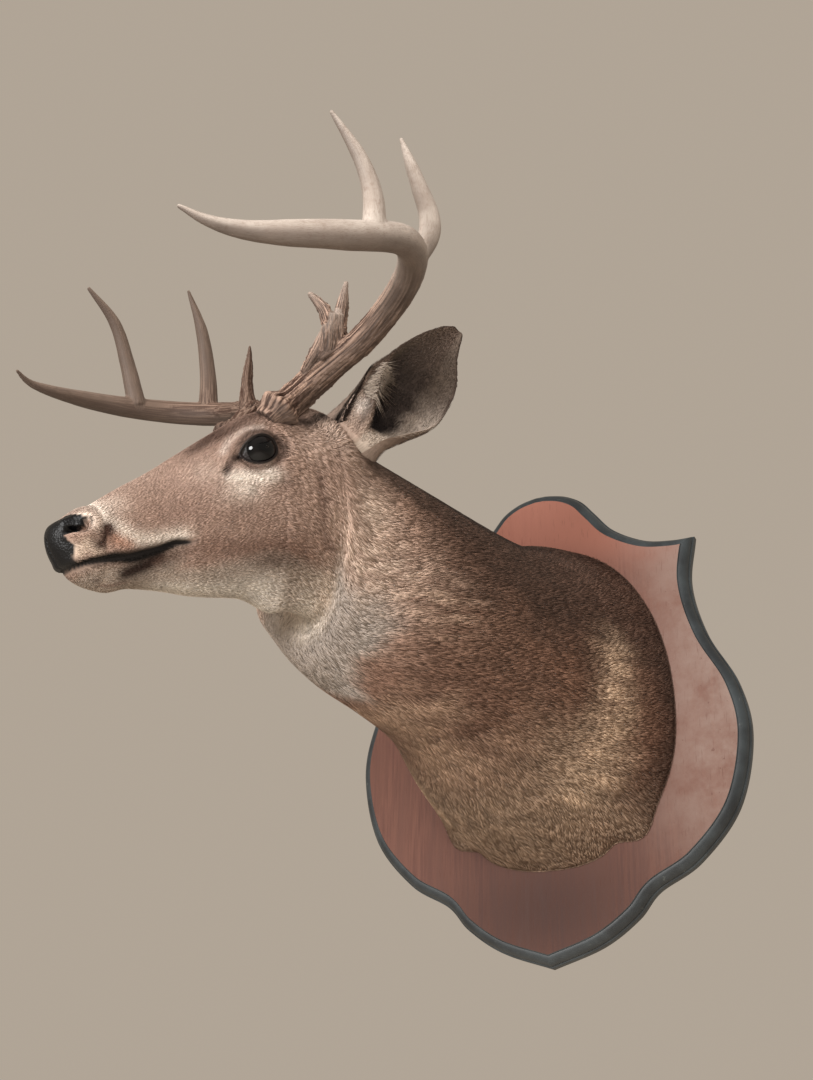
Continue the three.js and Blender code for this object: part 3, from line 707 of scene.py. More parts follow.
def muzzle_marks(spot, natural, head, fine):
    """The pale band behind the nose, the spot on the lip, chin and jaw."""
    ahead, _, up = np.moveaxis(spot, -1, 0)
    t, round_ = np.moveaxis(natural, -1, 0)
    pale = [(150, 0, -36), (150, 20, -42), (149, 31, -56), (139, 33, -63), (129, 34.5, -72), (114, 34.5, -75)]
    pale = near_path(spot, pale + [(97, 35, -73.5), (84, 36.5, -73)], 7.5)
    yield blob(spot, (138, 22, -42), (14, 16, 14)) * 0.75, (206, 187, 173)
    yield blob(spot, (165, 10, -42), (12, 20, 12)) * 0.75, (192, 173, 160)
    yield pale * 0.95, (230, 215, 201)
    wing = near_path(spot, [(166, 26, -48), (160, 31, -53), (158.5, 31.5, -60)], 5)
    yield wing * 0.9, (236, 216, 200)
    rust = near_path(spot, [(147, 32.5, -70), (141, 33, -75), (134, 33.5, -78)], 6)
    yield rust * 0.75, (184, 140, 118)
    yield near_path(spot, [(160, 30, -79), (167, 28, -75), (174, 22, -79)], 6) * 0.8, (222, 200, 180)
    lip_spot = near_path(spot, [(149, 32, -64), (153, 32, -69), (157, 31, -74)], 6.5)
    yield lip_spot * (1 + 0.3 * fine), (66, 46, 39)
    level = mouth_level(ahead)
    jaw = (1 - ease(level - 12, level - 2, up)) * ease(74, 96, ahead)
    jaw = np.maximum(jaw, ease(146, 158, round_) * ease(0.0, 1.0, t))
    yield jaw * head * 0.9, (178, 163, 150)
    yield ease(158, 172, round_) * ease(1.0, 2.0, t) * head * 0.9, (232, 222, 210)
    yield blob(natural, (6.7, 160), (0.35, 13)) * 0.8, (236, 216, 198)
    yield blob(natural, (5.7, 168), (0.5, 14)) * 0.6, (150, 130, 115)
    yield blob(spot, (2, 38, -97), (24, 14, 7)) * 0.7, (92, 70, 59)
    yield near_path(spot, [(118, 28, -93), (104, 30, -90), (92, 31, -90)], 5) * 0.6, (120, 94, 82)
    lip_dark = near_path(spot[..., [0, 2]], [(104, -88), (114, -93), (126, -97), (134, -99)], 5.5)
    yield lip_dark * 1.1 * (ahead > 80), (56, 41, 36)
    yield near_path(spot[..., [0, 2]], [(76, -84), (92, -88), (104, -92)], 6) * head * 0.5, (112, 86, 74)
    yield blob(spot, (156, 18, -97), (14, 16, 8)) * 0.6, (164, 148, 135)
    yield near_path(spot, [(152, 9, -106), (140, 12, -107), (128, 14, -107)], 2.5) * 0.5, (120, 88, 75)
    yield blob(spot, (157, 14.5, -102), (3, 4, 2.5)) * 0.8, (84, 64, 56)


def skin_marks(spot, head):
    """Bare skin: lips, nose pad, lids and the slit in front of the eye, and painted shade round the lids."""
    ahead, left, up = np.moveaxis(spot, -1, 0)
    along = [76, 90, 104, 125, 140, 165]
    thick = np.interp(ahead, along, [2.0, 3.2, 4.2, 5.4, 4.2, 3.2])
    drop = np.interp(ahead, along, [0, 0.4, 1.8, 2.0, 0.6, -1.0])
    lips = np.exp(-((up - mouth_level(ahead) + drop) / thick) ** 2) * ease(68, 80, ahead)
    yield lips * 1.5, (22, 19, 19)
    yield nose_pad(spot), (7, 7, 9)
    yield ease(0.2, 0.6, near_path(spot, NOSTRIL, 3.3)) * (ahead > 155), (8, 7, 7)
    reach = lid_reach(spot)
    # painted shade of the lid fold round the eye, over darker hair there; strongest above and behind the eye
    above = np.maximum(ease(-2, 6, up), ease(0, -12, ahead))
    rim = np.exp(-((reach - 1.18) / 0.17) ** 2) * (0.5 + 0.4 * above) * head * (left > 15)
    yield rim, (72, 56, 49)
    yield (1 - ease(1.02, 1.13, reach)) * head * (left > 15), (24, 19, 18)
    slit = np.exp(-((ahead - 39.5 + 0.45 * (up + 19)) / 2.4) ** 2 - ((up + 19) / 8.0) ** 2) * (left > 15)
    yield slit, (44, 33, 30)
    corner = near_path(spot[..., [0, 2]], [(20, -6), (26, -8), (31, -10)], 3.0) * (left > 15)
    yield corner * 1.1 * head, (30, 23, 22)
    trail = near_path(spot[..., [0, 2]], [(31, -9), (36, -13), (39.5, -18)], 3.0) * (left > 15)
    yield trail * 0.75 * head, (84, 66, 58)


def ear_root_marks(spot, natural, fine):
    """Pale hair at the root of the ear and a dark patch behind it; painted shadow in the fold before the ear
    and round the burrs.
    """
    t, round_ = np.moveaxis(natural, -1, 0)
    ear_root = np.exp(-(((t - 7.3) / 0.75) ** 2) - ((round_ - 50) / 13) ** 2)
    yield ear_root * 0.9, (206, 182, 167)
    yield np.exp(-(((t - 8.15) / 0.3) ** 2) - ((round_ - 50) / 9) ** 2) * 0.9, (84, 67, 58)
    # painted shadow: the gap between the burrs and the ear, and the hair under the burr, darkened in the coat
    # colour
    burr_gap_shadow = near_path(spot, [(-34, 55, 28), (-44, 57, 25), (-60, 56, 29), (-76, 50, 42), (-84, 46, 56)], 7.5)
    yield burr_gap_shadow * (1.1 + 0.3 * fine), (38, 29, 27)
    yield blob(spot, (-44, 38, 50), (15, 15, 12)) * 0.6, (66, 50, 43)


def coat_colour(points, t, angle):
    """The markings of hide and hair alike, from the place on the animal."""
    spot = on_left(to_head(points))
    natural = np.stack([t, degrees_round(angle)], -1)
    cloud = mottle(points, 26, 3)
    fine = mottle(points, 9, 5)
    streak = streaks(t, natural[..., 1], 4, 13)
    head = 1 - ease(6.6, 7.8, t)
    colour = np.broadcast_to(np.array(paint(172, 144, 129)[:3]), points.shape)
    marks = [neck_marks(natural, cloud, streak), throat_marks(natural, cloud, streak)]
    marks += [face_marks(spot, head, fine), muzzle_marks(spot, natural, head, fine)]
    marks += [skin_marks(spot, head), ear_root_marks(spot, natural, fine)]
    for weight, tone in itertools.chain(*marks):
        colour = shade(colour, weight, *tone)
    speckle = mottle(points, 5, 17) * 0.06 * (1 - ease(7, 9, t)) + 0.17 * streak * ease(7, 9, t)
    return colour * (1 + 0.07 * cloud + 0.06 * fine + speckle)[..., None]


def nose_pad(spot):
    """1 on the bare wet nose, 0 on the hair behind it."""
    ahead, left, up = (spot[..., k] for k in range(3))
    levels = [-95, -89, -83, -75, -69, -65, -62.5, -57, -52.5, -47.5, -44]
    edge = np.interp(up, levels, [176, 174.8, 174.8, 172.8, 178, 180, 166, 161.5, 162, 168, 175])
    edge = edge + (174 - edge) * (1 - ease(4, 14, left)) * (up > -66)
    return ease(-0.8, 0.8, ahead - edge) * ease(-94, -90, up)


def write_values(piece, name, values, kind="FLOAT"):
    layer = piece.data.attributes.new(name, kind, "POINT")
    field = "vector" if kind == "FLOAT_VECTOR" else "value"
    layer.data.foreach_set(field, values.astype(np.float32).ravel())


def read_values(flow, name, output=2):
    return flow.node("ShaderNodeAttribute", {"attribute_name": name}, output=output)


def coloured(piece, colours):
    layer = piece.data.color_attributes.new("coat", "FLOAT_COLOR", "POINT")
    flat = np.ones((len(colours), 4), np.float32)
    flat[:, :3] = np.clip(colours, 0.002, 1)
    layer.data.foreach_set("color", flat.ravel())


def hide_finish():
    material, flow, shader = new_finish("tanned_hide", Specular_IOR_Level=0.3)
    colour = read_values(flow, "coat", 0)
    bare = read_values(flow, "bare")
    strands = noise(flow, placed(flow, (240, 30, 1), "UV"), 1.0, 5.0, 0.6)
    size = {"Vector": placed(flow), "Scale": 620.0}
    pebbles = flow.node("ShaderNodeTexVoronoi", {"feature": "SMOOTH_F1"}, size)
    tone = strands.step(0.3, 0.7) * 0.3 + 0.7
    hair = flow.node("ShaderNodeVectorMath", {"operation": "SCALE"}, {0: colour, "Scale": tone})
    feed(shader, Base_Color=bare.tint(hair, colour))
    feed(shader, Roughness=bare * -0.42 + pebbles * 0.12 + 0.8)
    height = strands * (1 - bare) * 0.6 + pebbles * bare * -0.8
    feed(shader, Normal=bump(flow, height, 0.5, 0.0009))
    return material


def make_hide():
    t, angle = lie_grid()
    grid_t, grid_angle = np.meshgrid(t, angle, indexing="ij")
    points = hide_points(grid_t, grid_angle)
    rings, count = grid_t.shape
    colours = coat_colour(points, grid_t, grid_angle)
    place = to_head(points)
    spot = on_left(place)
    mouth = np.exp(-((place[..., 2] - mouth_level(place[..., 0])) / 3.0) ** 2) * ease(66, 80, place[..., 0])
    lids = (1 - ease(1.0, 1.1, lid_reach(spot))) * (grid_t < 7) * (spot[..., 1] > 15)
    bare = np.clip(np.maximum(nose_pad(spot), np.maximum(mouth, lids)), 0, 1)
    hubs = np.array([points[0].mean(0), points[-1].mean(0)])
    faces, ends = closed_loft(rings, count)
    flat = np.vstack([points.reshape(-1, 3), hubs])
    hide = make_mesh("hide", flat, [faces, ends], [hide_finish()])
    coloured(hide, np.vstack([colours.reshape(-1, 3), colours[0].mean(0), colours[-1].mean(0)]))
    write_values(hide, "bare", np.append(bare.ravel(), [1, 0]))
    corners = np.empty(len(hide.data.loops), np.int32)
    hide.data.loops.foreach_get("vertex_index", corners)
    column = (corners % count).astype(float)
    wraps = np.repeat(faces.max(1) % count == count - 1, 4) & (column[:faces.size] == 0)
    wraps &= np.repeat((faces % count).min(1) == 0, 4)
    column[:faces.size] += count * wraps
    uv = np.stack([column / count, np.minimum(corners // count, rings - 1) / rings], 1)
    hide.data.uv_layers.new(name="lie").data.foreach_set("uv", uv.astype(np.float32).ravel())
    recalc_outward(hide)
    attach(hide, "root")
    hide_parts("head_muzzle", "head_jaw", "head_skull", "neck_front", "neck_rear", "shoulders")
    return t, angle, points


LIE_T, LIE_ANGLE, LIE_POINTS = make_hide()


# ------------------------------------------------------------------ the eyes
# Glass taxidermy eyes, set in clay in the sockets: very dark brown with a wide, level pupil
# under a clear bulging front.
def eye_finish():
    material, flow, shader = new_finish("eye_glass", Roughness=0.05, Specular_IOR_Level=0.32)
    ring = read_values(flow, "iris")
    threads = noise(flow, placed(flow), 700.0, 3.0)
    brown = threads.step(0.3, 0.7).tint(paint(9, 9, 11), paint(15, 13, 14))
    feed(shader, Base_Color=ring.tint(paint(4, 5, 7), brown))
    return material


def make_eyes():
    finish = eye_finish()
    rings, count = 48, 72
    polar = np.linspace(0, math.pi, rings + 1)[1:-1]
    around = np.linspace(0, 2 * math.pi, count, endpoint=False)
    p, a = np.meshgrid(polar, around, indexing="ij")
    ball = np.stack([np.sin(p) * np.cos(a), np.cos(p), np.sin(p) * np.sin(a)], -1)
    radius = EYE_RADIUS - EYE_GAP
    bulge = 1 + 0.02 * ease(0.5, 1.0, ball[..., 1])
    ball = (ball * radius * bulge[..., None]).reshape(-1, 3)
    poles = [[0, radius * 1.02, 0], [0, -radius, 0]]
    whole = np.vstack([ball, poles])
    pupil = np.hypot(whole[:, 0] / 8.5, whole[:, 2] / 4.6)
    iris = ease(0.9, 1.1, pupil) * (1 - ease(11.6, 13.0, np.hypot(whole[:, 0], whole[:, 2])))
    quads, ends = closed_loft(rings - 1, count)
    for side, node in ((1, "eye_left"), (-1, "eye_right")):
        points = from_head((whole + EYE_BALL) * [1, side, 1])
        eye = make_mesh("glass_" + node, points, [quads, ends], [finish])
        write_values(eye, "iris", iris)
        recalc_outward(eye)
        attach(eye, "root")
        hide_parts(node)


make_eyes()


# ------------------------------------------------------------------ the ears
# Hide over a thin plastic liner: a deep cup that opens forwards and to the side, with its front
# edge spreading on to the head. Nearly bare and dark inside, with long pale hairs along the front edge.
EAR_LENGTH, EAR_THICKNESS = 159, 3.2
EAR_FRONT = [35, 32, 31, 34, 31, 29, 25, 20]
EAR_REAR = [29, 26, 35, 45, 43, 36, 19, 9]
# side, root, turn, rise and the way that the cup faces, in the head's frame
EARS = {
    "ear_left": (1, [-89.6, 54, 5.9], 156.8, 38.6, [0.45, 0.88, -0.05]),
    "ear_right": (-1, [-89.6, -54, 5.9], -146, 20, [0.45, -0.88, -0.05]),
}


def ear_mouth(rear):
    """Where the hollow begins, as a share of the length: sooner behind the mid line."""
    return 0.15 + 0.4 * np.maximum(0.1 - rear, 0)


def ear_surface(name, u, v, inner):
    """Places on an ear: u from root to tip, v from edge to edge, on its outer or inner face."""
    side, root, turn, rise, facing = EARS[name]
    a, e = math.radians(turn), math.radians(rise)
    axis = np.array([math.cos(e) * math.cos(a), math.cos(e) * math.sin(a), math.sin(e)])
    opening = unit(np.array(facing) - axis * np.dot(facing, axis))
    across = np.cross(axis, opening)
    u = np.minimum(u, 0.992)
    rear = v * side
    front_half, rear_half = (smooth_at(half, u * (len(half) - 1)) for half in (EAR_FRONT, EAR_REAR))
    half = (front_half + (rear_half - front_half) * ease(-0.5, 0.5, rear)) * np.sqrt(1 - u ** 6) + 1.2
    curl = np.radians(150 - 100 * np.minimum(u * 1.4, 1))
    hollow = ease(-0.05, 0.16, u - ear_mouth(rear))
    angle = v * curl
    radius = half / np.sin(np.minimum(curl, math.pi / 2))
    outer = radius * (1 - np.cos(angle)) + 0.5
    lip = radius * (1 - np.cos(curl))
    wall = EAR_THICKNESS * (1 - 0.5 * u) * (1 - v ** 4 * 0.5)
    cup = np.minimum(outer + wall, lip + 1.0)
    cover = lip + 1.0 + 3.5 * (1 - v * v) * (1 - u)
    depth = np.where(inner, cover + (cup - cover) * hollow, outer)
    round_off = radius * np.sin(angle)
    flat = radius * np.sin(curl) * v
    sideways = np.where(inner, 0.975 * (flat + (round_off - flat) * hollow), 0.99 * round_off)
    lean = depth - lip - 10 * u * u
    wave = 1.1 * np.sin(u * 11 + v * 2) * np.abs(v) ** 3 * u
    place = axis * (EAR_LENGTH * u)[..., None] + across * sideways[..., None]
    return from_head(np.array(root) + (place + opening * (lean + wave)[..., None]))


def ear_colour(name, points, u, v, inner):
    rear = v * EARS[name][0]
    past = u - ear_mouth(rear)
    cloud = mottle(points, 12, 9)
    natural = np.stack([u, rear], -1)
    back = np.broadcast_to(np.array(paint(124, 106, 94)[:3]), points.shape)
    back = shade(back, ease(0.55, 1.0, u) * 0.5, 96, 82, 73)
    back = shade(back, (1 - ease(0.1, 0.4, u)) * 0.6, 176, 156, 143)
    # inside: furred up to the mouth of the cup, black in its depth, grey-brown towards the tip
    fur = np.broadcast_to(np.array(paint(186, 162, 147)[:3]), points.shape)
    fur = shade(fur, ease(-0.1, 0.3, rear) * 0.8, 164, 146, 131)
    fur = shade(fur, ease(-0.26, -0.13, past) * ease(0.0, -0.3, rear) * 0.9, 102, 86, 76)
    fur = shade(fur, blob(natural, (0.19, -0.62), (0.06, 0.25)) * 0.8, 236, 224, 215)
    cup = np.broadcast_to(np.array(paint(66, 57, 53)[:3]), points.shape)
    cup = shade(cup, (1 - ease(0.05, 0.28, past)) * ease(-0.5, -0.1, rear), 30, 26, 27)
    cup = shade(cup, ease(-0.6, -0.9, rear) * ease(0.4, 0.55, u) * 0.7, 98, 86, 75)
    cup = shade(cup, ease(0.5, 0.9, u) * 0.6, 106, 88, 76)
    cup = shade(cup, ease(0.16, 0.5, rear) * ease(0.3, 0.6, u) * 0.8, 104, 91, 81)
    inside = fur + (cup - fur) * ease(-0.03, 0.04, past + 0.015 * cloud)[..., None]
    low_rim = ease(0.2, 0.42, rear + 0.04 * cloud) * (1 - ease(0.38, 0.62, u))
    inside = shade(inside, low_rim * (0.85 + 0.15 * cloud), 186, 170, 156)
    tint = back + (inside - back) * inner[..., None]
    rim = ease(0.9, 0.98, np.abs(v)) * ease(0.4, 0.55, u)
    tint = shade(tint, rim * 0.8, 66, 52, 46)
    tint = shade(tint, ease(-0.86, -0.99, rear) * (1 - ease(0.08, 0.16, u)) * 0.8, 40, 31, 28)
    return tint * (1 + 0.10 * cloud)[..., None]


def make_ears():
    finish = hide_finish()
    finish.name = "ear_hide"
    rings, steps = 90, 44
    u = np.linspace(0, 1, rings)
    edge = np.sin(np.linspace(-math.pi / 2, math.pi / 2, steps))
    loop_v = np.concatenate([edge, edge[::-1]])
    loop_inner = np.concatenate([np.zeros(steps), np.ones(steps)])
    grid_u, grid_v = np.meshgrid(u, loop_v, indexing="ij")
    inner = np.broadcast_to(loop_inner, grid_u.shape)
    count = len(loop_v)
    quads, ends = closed_loft(rings, count)
    for name in EARS:
        points = ear_surface(name, grid_u, grid_v, inner > 0.5)
        colours = ear_colour(name, points, grid_u, grid_v, inner)
        flat = np.vstack([points.reshape(-1, 3), points[0].mean(0), points[-1].mean(0)])
        ear = make_mesh("hide_" + name, flat, [quads, ends], [finish])
        coloured(ear, np.vstack([colours.reshape(-1, 3), colours[0].mean(0), colours[-1].mean(0)]))
        write_values(ear, "bare", np.zeros(len(flat)))
        corners = np.empty(len(ear.data.loops), np.int32)
        ear.data.loops.foreach_get("vertex_index", corners)
        uv = np.stack([(corners % count) / count * 0.3, np.minimum(corners // count, rings) / rings], 1)
        ear.data.uv_layers.new(name="lie").data.foreach_set("uv", uv.astype(np.float32).ravel())
        recalc_outward(ear)
        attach(ear, "root")
        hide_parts(name)


make_ears()


# ------------------------------------------------------------------ the antlers
# Bone, shed-hard and dry: a knobbly burr above the skull, deep grooves and pearling on the lower
# beams and brow tines, then smooth ivory-grey beams with polished pale tips.
# for each limb: its line in the head's frame, its radii, and its depth as a share of its width
ANTLERS = {
    "left": {
        "beam": ([[-13, 41.5, 27], [-58, 56, 62], [-89, 114, 91], [-93, 178, 120], [-59, 222, 128],
                  [6, 228, 125], [82, 206, 131], [110, 199, 139], [130, 191, 153]],
                 [14.5, 13.8, 13.2, 12.8, 12.8, 13, 12.8, 12.4, 10.8, 7, 1.8], 1),
        "brow": ([[-68, 76, 76], [-69, 83, 90], [-70, 87, 103], [-72, 89, 114]], [8, 8.6, 8.6, 7], 1.5),
        "brow_front": ([[-67, 86, 106], [-64, 83, 122], [-55, 77, 139]], [6.4, 5.4, 2.2], 1.1),
        "brow_rear": ([[-74, 88, 104], [-80, 89, 122], [-87, 93, 146]], [6.4, 5.4, 1.8], 1.1),
        "brow_web": ([[-48, 60, 68], [-57, 70, 83], [-64, 78, 98], [-68, 83, 110]], [4, 6, 6, 4], 1.1),
        "second": ([[-84, 203, 124], [-97, 207, 142], [-103, 205, 162], [-102, 200, 190], [-98, 191, 240]],
                   [9, 9.5, 8, 5.8, 1.8], 1),
        "third": ([[-22, 231, 126], [-31, 226, 165], [-28, 222, 197], [-11, 215, 241]],
                  [10.6, 8.4, 6, 1.8], 1),
    },
    "right": {
        "beam": ([[-13, -41.5, 27], [-58, -56, 64], [-88, -116, 87], [-95, -175, 104], [-61, -216, 118],
                  [6, -225, 128], [76, -210, 136], [102, -202, 142], [116, -194, 151]],
                 [13.5, 13, 12.6, 12.4, 12.4, 12.4, 11.8, 10.6, 8.6, 5.6, 1.6], 1),
        "brow": ([[-59, -63, 70], [-66, -69, 104], [-71, -68, 124], [-73, -65, 140]],
                 [9.5, 6.2, 4.6, 1.4], 1),
        "second": ([[-88, -191, 113], [-95, -194, 153], [-93, -190, 200], [-82, -187, 245]],
                   [10.5, 8.4, 6.4, 1.6], 1),
        "third": ([[-22, -222, 126], [-17, -221, 172], [-6, -216, 215], [21, -211, 250]], [10, 7.8, 6, 2], 1),
    },
}
SPAN_SAMPLES = 60
ANTLER_NODES = ("base", "beam_lower", "beam_upper", "beam_tip", "tine_brow", "tine_second", "tine_third")


def centripetal(points, steps):
    """An evenly stepped curve through points, with centripetal spacing."""
    points = np.array(points, float)
    padded = np.vstack([2 * points[0] - points[1], points, 2 * points[-1] - points[-2]])
    samples = []
    for i in range(len(points) - 1):
        row = padded[i:i + 4]
        knots = np.concatenate([[0], np.cumsum(np.linalg.norm(np.diff(row, axis=0), axis=1) ** 0.5)])
        s = np.linspace(knots[1], knots[2], SPAN_SAMPLES, endpoint=i == len(points) - 2)[:, None]
        # each pass blends neighbours over wider spans of knots, until one curve is left
        for spans in (((0, 1), (1, 2), (2, 3)), ((0, 2), (1, 3)), ((1, 2),)):
            ends = [(knots[low], knots[high]) for low, high in spans]
            row = [((b - s) * row[k] + (s - a) * row[k + 1]) / (b - a) for k, (a, b) in enumerate(ends)]
        samples.append(row[0])
    samples = np.vstack(samples)
    length = np.concatenate([[0], np.cumsum(np.linalg.norm(np.diff(samples, axis=0), axis=1))])
    even = np.linspace(0, length[-1], steps + 1)
    return np.stack([np.interp(even, length, samples[:, k]) for k in range(3)], 1), length[-1]


def antler_tube(points, radii, spread, reference, is_beam):
    """One tapering limb as rings of points, its axis and its length."""
    steps = 12 * (len(points) - 1) + (40 if is_beam else 0)
    axis, length = centripetal(from_head(points), steps)
    u = np.linspace(0, 1, steps + 1)
    radius = np.interp(u, np.linspace(0, 1, len(radii)), radii)
    if is_beam:
        radius = radius + 7 * np.exp(-(((u - 0.035) / 0.014) ** 2))
    tangent = unit(np.gradient(axis, axis=0))
    across = unit(np.cross(reference, tangent))
    other = np.cross(tangent, across)
    turn = np.linspace(0, 2 * math.pi, 24, endpoint=False)[None, :, None]
    spokes = across[:, None] * np.cos(turn) + spread * other[:, None] * np.sin(turn)
    return axis[:, None] + radius[:, None, None] * spokes, axis, u, length


def antler_finish(name, pale, dark, warm):
    material, flow, shader = new_finish(name, Specular_IOR_Level=0.4)
    stain_and_shade = read_values(flow, "stain_and_shade")
    grain = read_values(flow, "grain", 1)
    pits = read_values(flow, "pits")
    furrows = noise(flow, grain, 1.0, 6.0, 0.62)
    under = read_values(flow, "under")
    hair_lines = noise(flow, grain, 3.4, 4.0, 0.6)
    specks = noise(flow, placed(flow), 150.0, 5.0, 0.7)
    cloud = noise(flow, placed(flow), 26.0, 5.0, 0.6)
    ivory = cloud.step(0.32, 0.7).tint(dark, pale)
    ivory = (hair_lines.step(0.5, 0.66) * 0.5).tint(ivory, paint(118, 98, 85))
    ivory = (specks.step(0.52, 0.72) * 0.4).tint(ivory, paint(124, 103, 90))
    brown = furrows.step(0.42, 0.62).tint(paint(64, 44, 35), warm)
    bone = (stain_and_shade + (cloud - 0.5) * 0.5).step(0.15, 0.85).tint(ivory, brown)
    # painted shade: the underside darkened, partly a darker staining there and partly the shade under light
    # from above
    bone = (under * 0.75 + (cloud - 0.5) * under * 0.8).tint(bone, paint(74, 61, 54))
    bone = (pits * 0.95).tint(bone, paint(42, 29, 24))
    height = furrows * (stain_and_shade * 0.7 + 0.25) + hair_lines * 0.25
    feed(shader, Base_Color=bone, Roughness=stain_and_shade * 0.22 + cloud * 0.15 + 0.42)
    feed(shader, Normal=bump(flow, height, 0.6, 0.0012))
    return material


def make_antler(side, finish):
    reference = {"beam": HEAD_AXES[2]}
    limbs = {}
    for name, (places, radii, spread) in ANTLERS[side].items():
        limbs[name] = antler_tube(places, radii, spread, reference.get(name, HEAD_AXES[0]), name == "beam")
    points, quads, ends, start = [], [], [], 0
    for rings, axis, _, _ in limbs.values():
        points.append(np.vstack([rings.reshape(-1, 3), axis[0], axis[-1]]))
        sides, caps = closed_loft(*rings.shape[:2], start)
        quads.append(sides)
        ends.append(caps)
        start += len(points[-1])
    raw = make_mesh("antler_" + side, np.vstack(points), [np.vstack(quads), np.vstack(ends)], [finish])
    recalc_outward(raw)
    fuse = raw.modifiers.new("fuse", "REMESH")
    fuse.mode = "VOXEL"
    fuse.voxel_size = 0.0011
    settle = raw.modifiers.new("settle", "SMOOTH")
    settle.factor = 0.6
    settle.iterations = 7
    mesh = bpy.data.meshes.new_from_object(raw.evaluated_get(bpy.context.evaluated_depsgraph_get()))
    raw.modifiers.clear()
    raw.data = mesh
    carve_antler(raw, limbs, side)
    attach(raw, "root")
    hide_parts(*[f"antler_{side}_{part}" for part in ANTLER_NODES])


def carve_antler(antler, limbs, side):
    """Cuts furrows and raises pearls along each limb, and marks how far the staining runs, plus painted shade
    on the far antler.
    """
    mesh = antler.data
    count = len(mesh.vertices)
    points = read_vectors(mesh.vertices, "co").astype(float) * 1000
    normals = read_vectors(mesh.vertices, "normal").astype(float)
    best = np.full(count, 1e9)
    grain = np.zeros((count, 3))
    run = np.zeros(count)
    is_brow = np.zeros(count)
    share = np.zeros(count)
    for name, (rings, axis, u, length) in limbs.items():
        gaps = ((points[:, None] - axis[None]) ** 2).sum(-1)
        nearest = gaps.argmin(1)
        radius = np.linalg.norm(rings[:, 0] - axis, axis=1)[nearest]
        gap = np.sqrt(gaps[np.arange(count), nearest]) / np.maximum(radius, 2)
        step = length / (len(u) - 1)
        forward = (np.gradient(axis, axis=0) / step)[nearest]
        past = np.clip(((points - axis[nearest]) * forward).sum(1), -0.6 * step, 0.6 * step)
        spoke = unit(points - axis[nearest] - forward * past[:, None], 1e-9)
        distance = u[nearest] * length + past
        take = gap < best
        best = np.where(take, gap, best)
        local = spoke * 2.4 + (axis[nearest] + forward * past[:, None]) * 0.02
        grain = np.where(take[:, None], local, grain)
        run = np.where(take, distance + {"second": 260, "third": 380}.get(name, 0), run)
        is_brow = np.where(take, float(name.startswith("brow")), is_brow)
        share = np.where(take, u[nearest], share)
    faded = np.interp(run, [0, 90, 150, 210, 330, 600], [1, 1, 0.75, 0.42, 0.12, 0.0])
    # the far (right) antler gets extra brown staining: painted shade
    stain_and_shade = 0.35 * (side == "right") + np.where(is_brow > 0, 0.85 - 0.4 * share, faded)
    furrow = mottle(grain * 10, 5.5, 21) + 0.6 * mottle(grain * 10, 2.8, 22)
    pearl = mottle(points, 5.5, 23) * mottle(points, 4.0, 24)
    near_burr = np.interp(run, [0, 26, 60, 140, 240], [0.2, 1.0, 1.0, 0.45, 0.0])
    near_burr = np.where(is_brow > 0, 0.9 * (1 - 0.8 * share), near_burr)
    burr = np.exp(-((run - 24) / 9) ** 2) * (1 - is_brow)
    lift = 1.15 * furrow * (0.1 + near_burr) + (1.3 + 1.6 * burr) * np.maximum(pearl, -0.35) * near_burr
    lift = lift * np.clip(best, 0.4, 1)
    mesh.vertices.foreach_set("co", ((points + normals * lift[:, None]) * 0.001).astype(np.float32).ravel())
    root = 0.35 * (1 - ease(10, 20, run)) * (1 - is_brow) + burr * (0.25 + 0.5 * (pearl < -0.1))
    write_values(antler, "stain_and_shade", stain_and_shade)
    write_values(antler, "pits", np.maximum(ease(0.2, 1.1, -furrow) * near_burr, root))
    # how far each place faces down, for the painted shade on the underside
    write_values(antler, "under", ease(0.1, -0.75, normals[:, 2]))
    write_values(antler, "grain", grain * 3.0, "FLOAT_VECTOR")
    mesh.polygons.foreach_set("use_smooth", np.ones(len(mesh.polygons), bool))
    mesh.update()


def make_antlers():
    near_antler_tones = [paint(188, 177, 167), paint(158, 145, 135), paint(184, 154, 136)]
    # the far antler's colours are darker than the near one's: painted shade
    far_antler_shaded_tones = [paint(134, 119, 108), paint(106, 92, 82), paint(124, 103, 90)]
    make_antler("left", antler_finish("antler_bone", *near_antler_tones))
    make_antler("right", antler_finish("antler_bone_shaded", *far_antler_shaded_tones))


make_antlers()


# ------------------------------------------------------------------ the coat
# Deer hair, short and close on the face and longer down the neck and brisket. It is laid as
# small pointed locks rooted in the hide, overlapping like thatch from the nose back to the board.
def coat_finish():
    material, flow, shader = new_finish("deer_hair", Roughness=0.62, Specular_IOR_Level=0.35)
    colour = read_values(flow, "coat", 0)
    fleck = noise(flow, placed(flow), 900.0, 2.0).step(0.3, 0.7) * 0.16 + 0.92
    hair = flow.node("ShaderNodeVectorMath", {"operation": "SCALE"}, {0: colour, "Scale": fleck})
    feed(shader, Base_Color=hair)
    return material


def sample_grid(grid, row, column):
    """Smooth reading of a grid that closes round its second direction."""
    rows, columns = grid.shape[:2]
    row = np.clip(row, 0, rows - 1.001)
    i, j = np.floor(row).astype(int), np.floor(column).astype(int)
    a, b = (row - i)[:, None], (column - j)[:, None]
    j0, j1 = j % columns, (j + 1) % columns
    near = grid[i, j0] * (1 - b) + grid[i, j1] * b
    far = grid[i + 1, j0] * (1 - b) + grid[i + 1, j1] * b
    return near * (1 - a) + far * a


def grid_normals(grid):
    along = np.gradient(grid, axis=0)
    wide = np.roll(grid, -1, 1) - np.roll(grid, 1, 1)
    return unit(np.cross(wide, along), 1e-9)


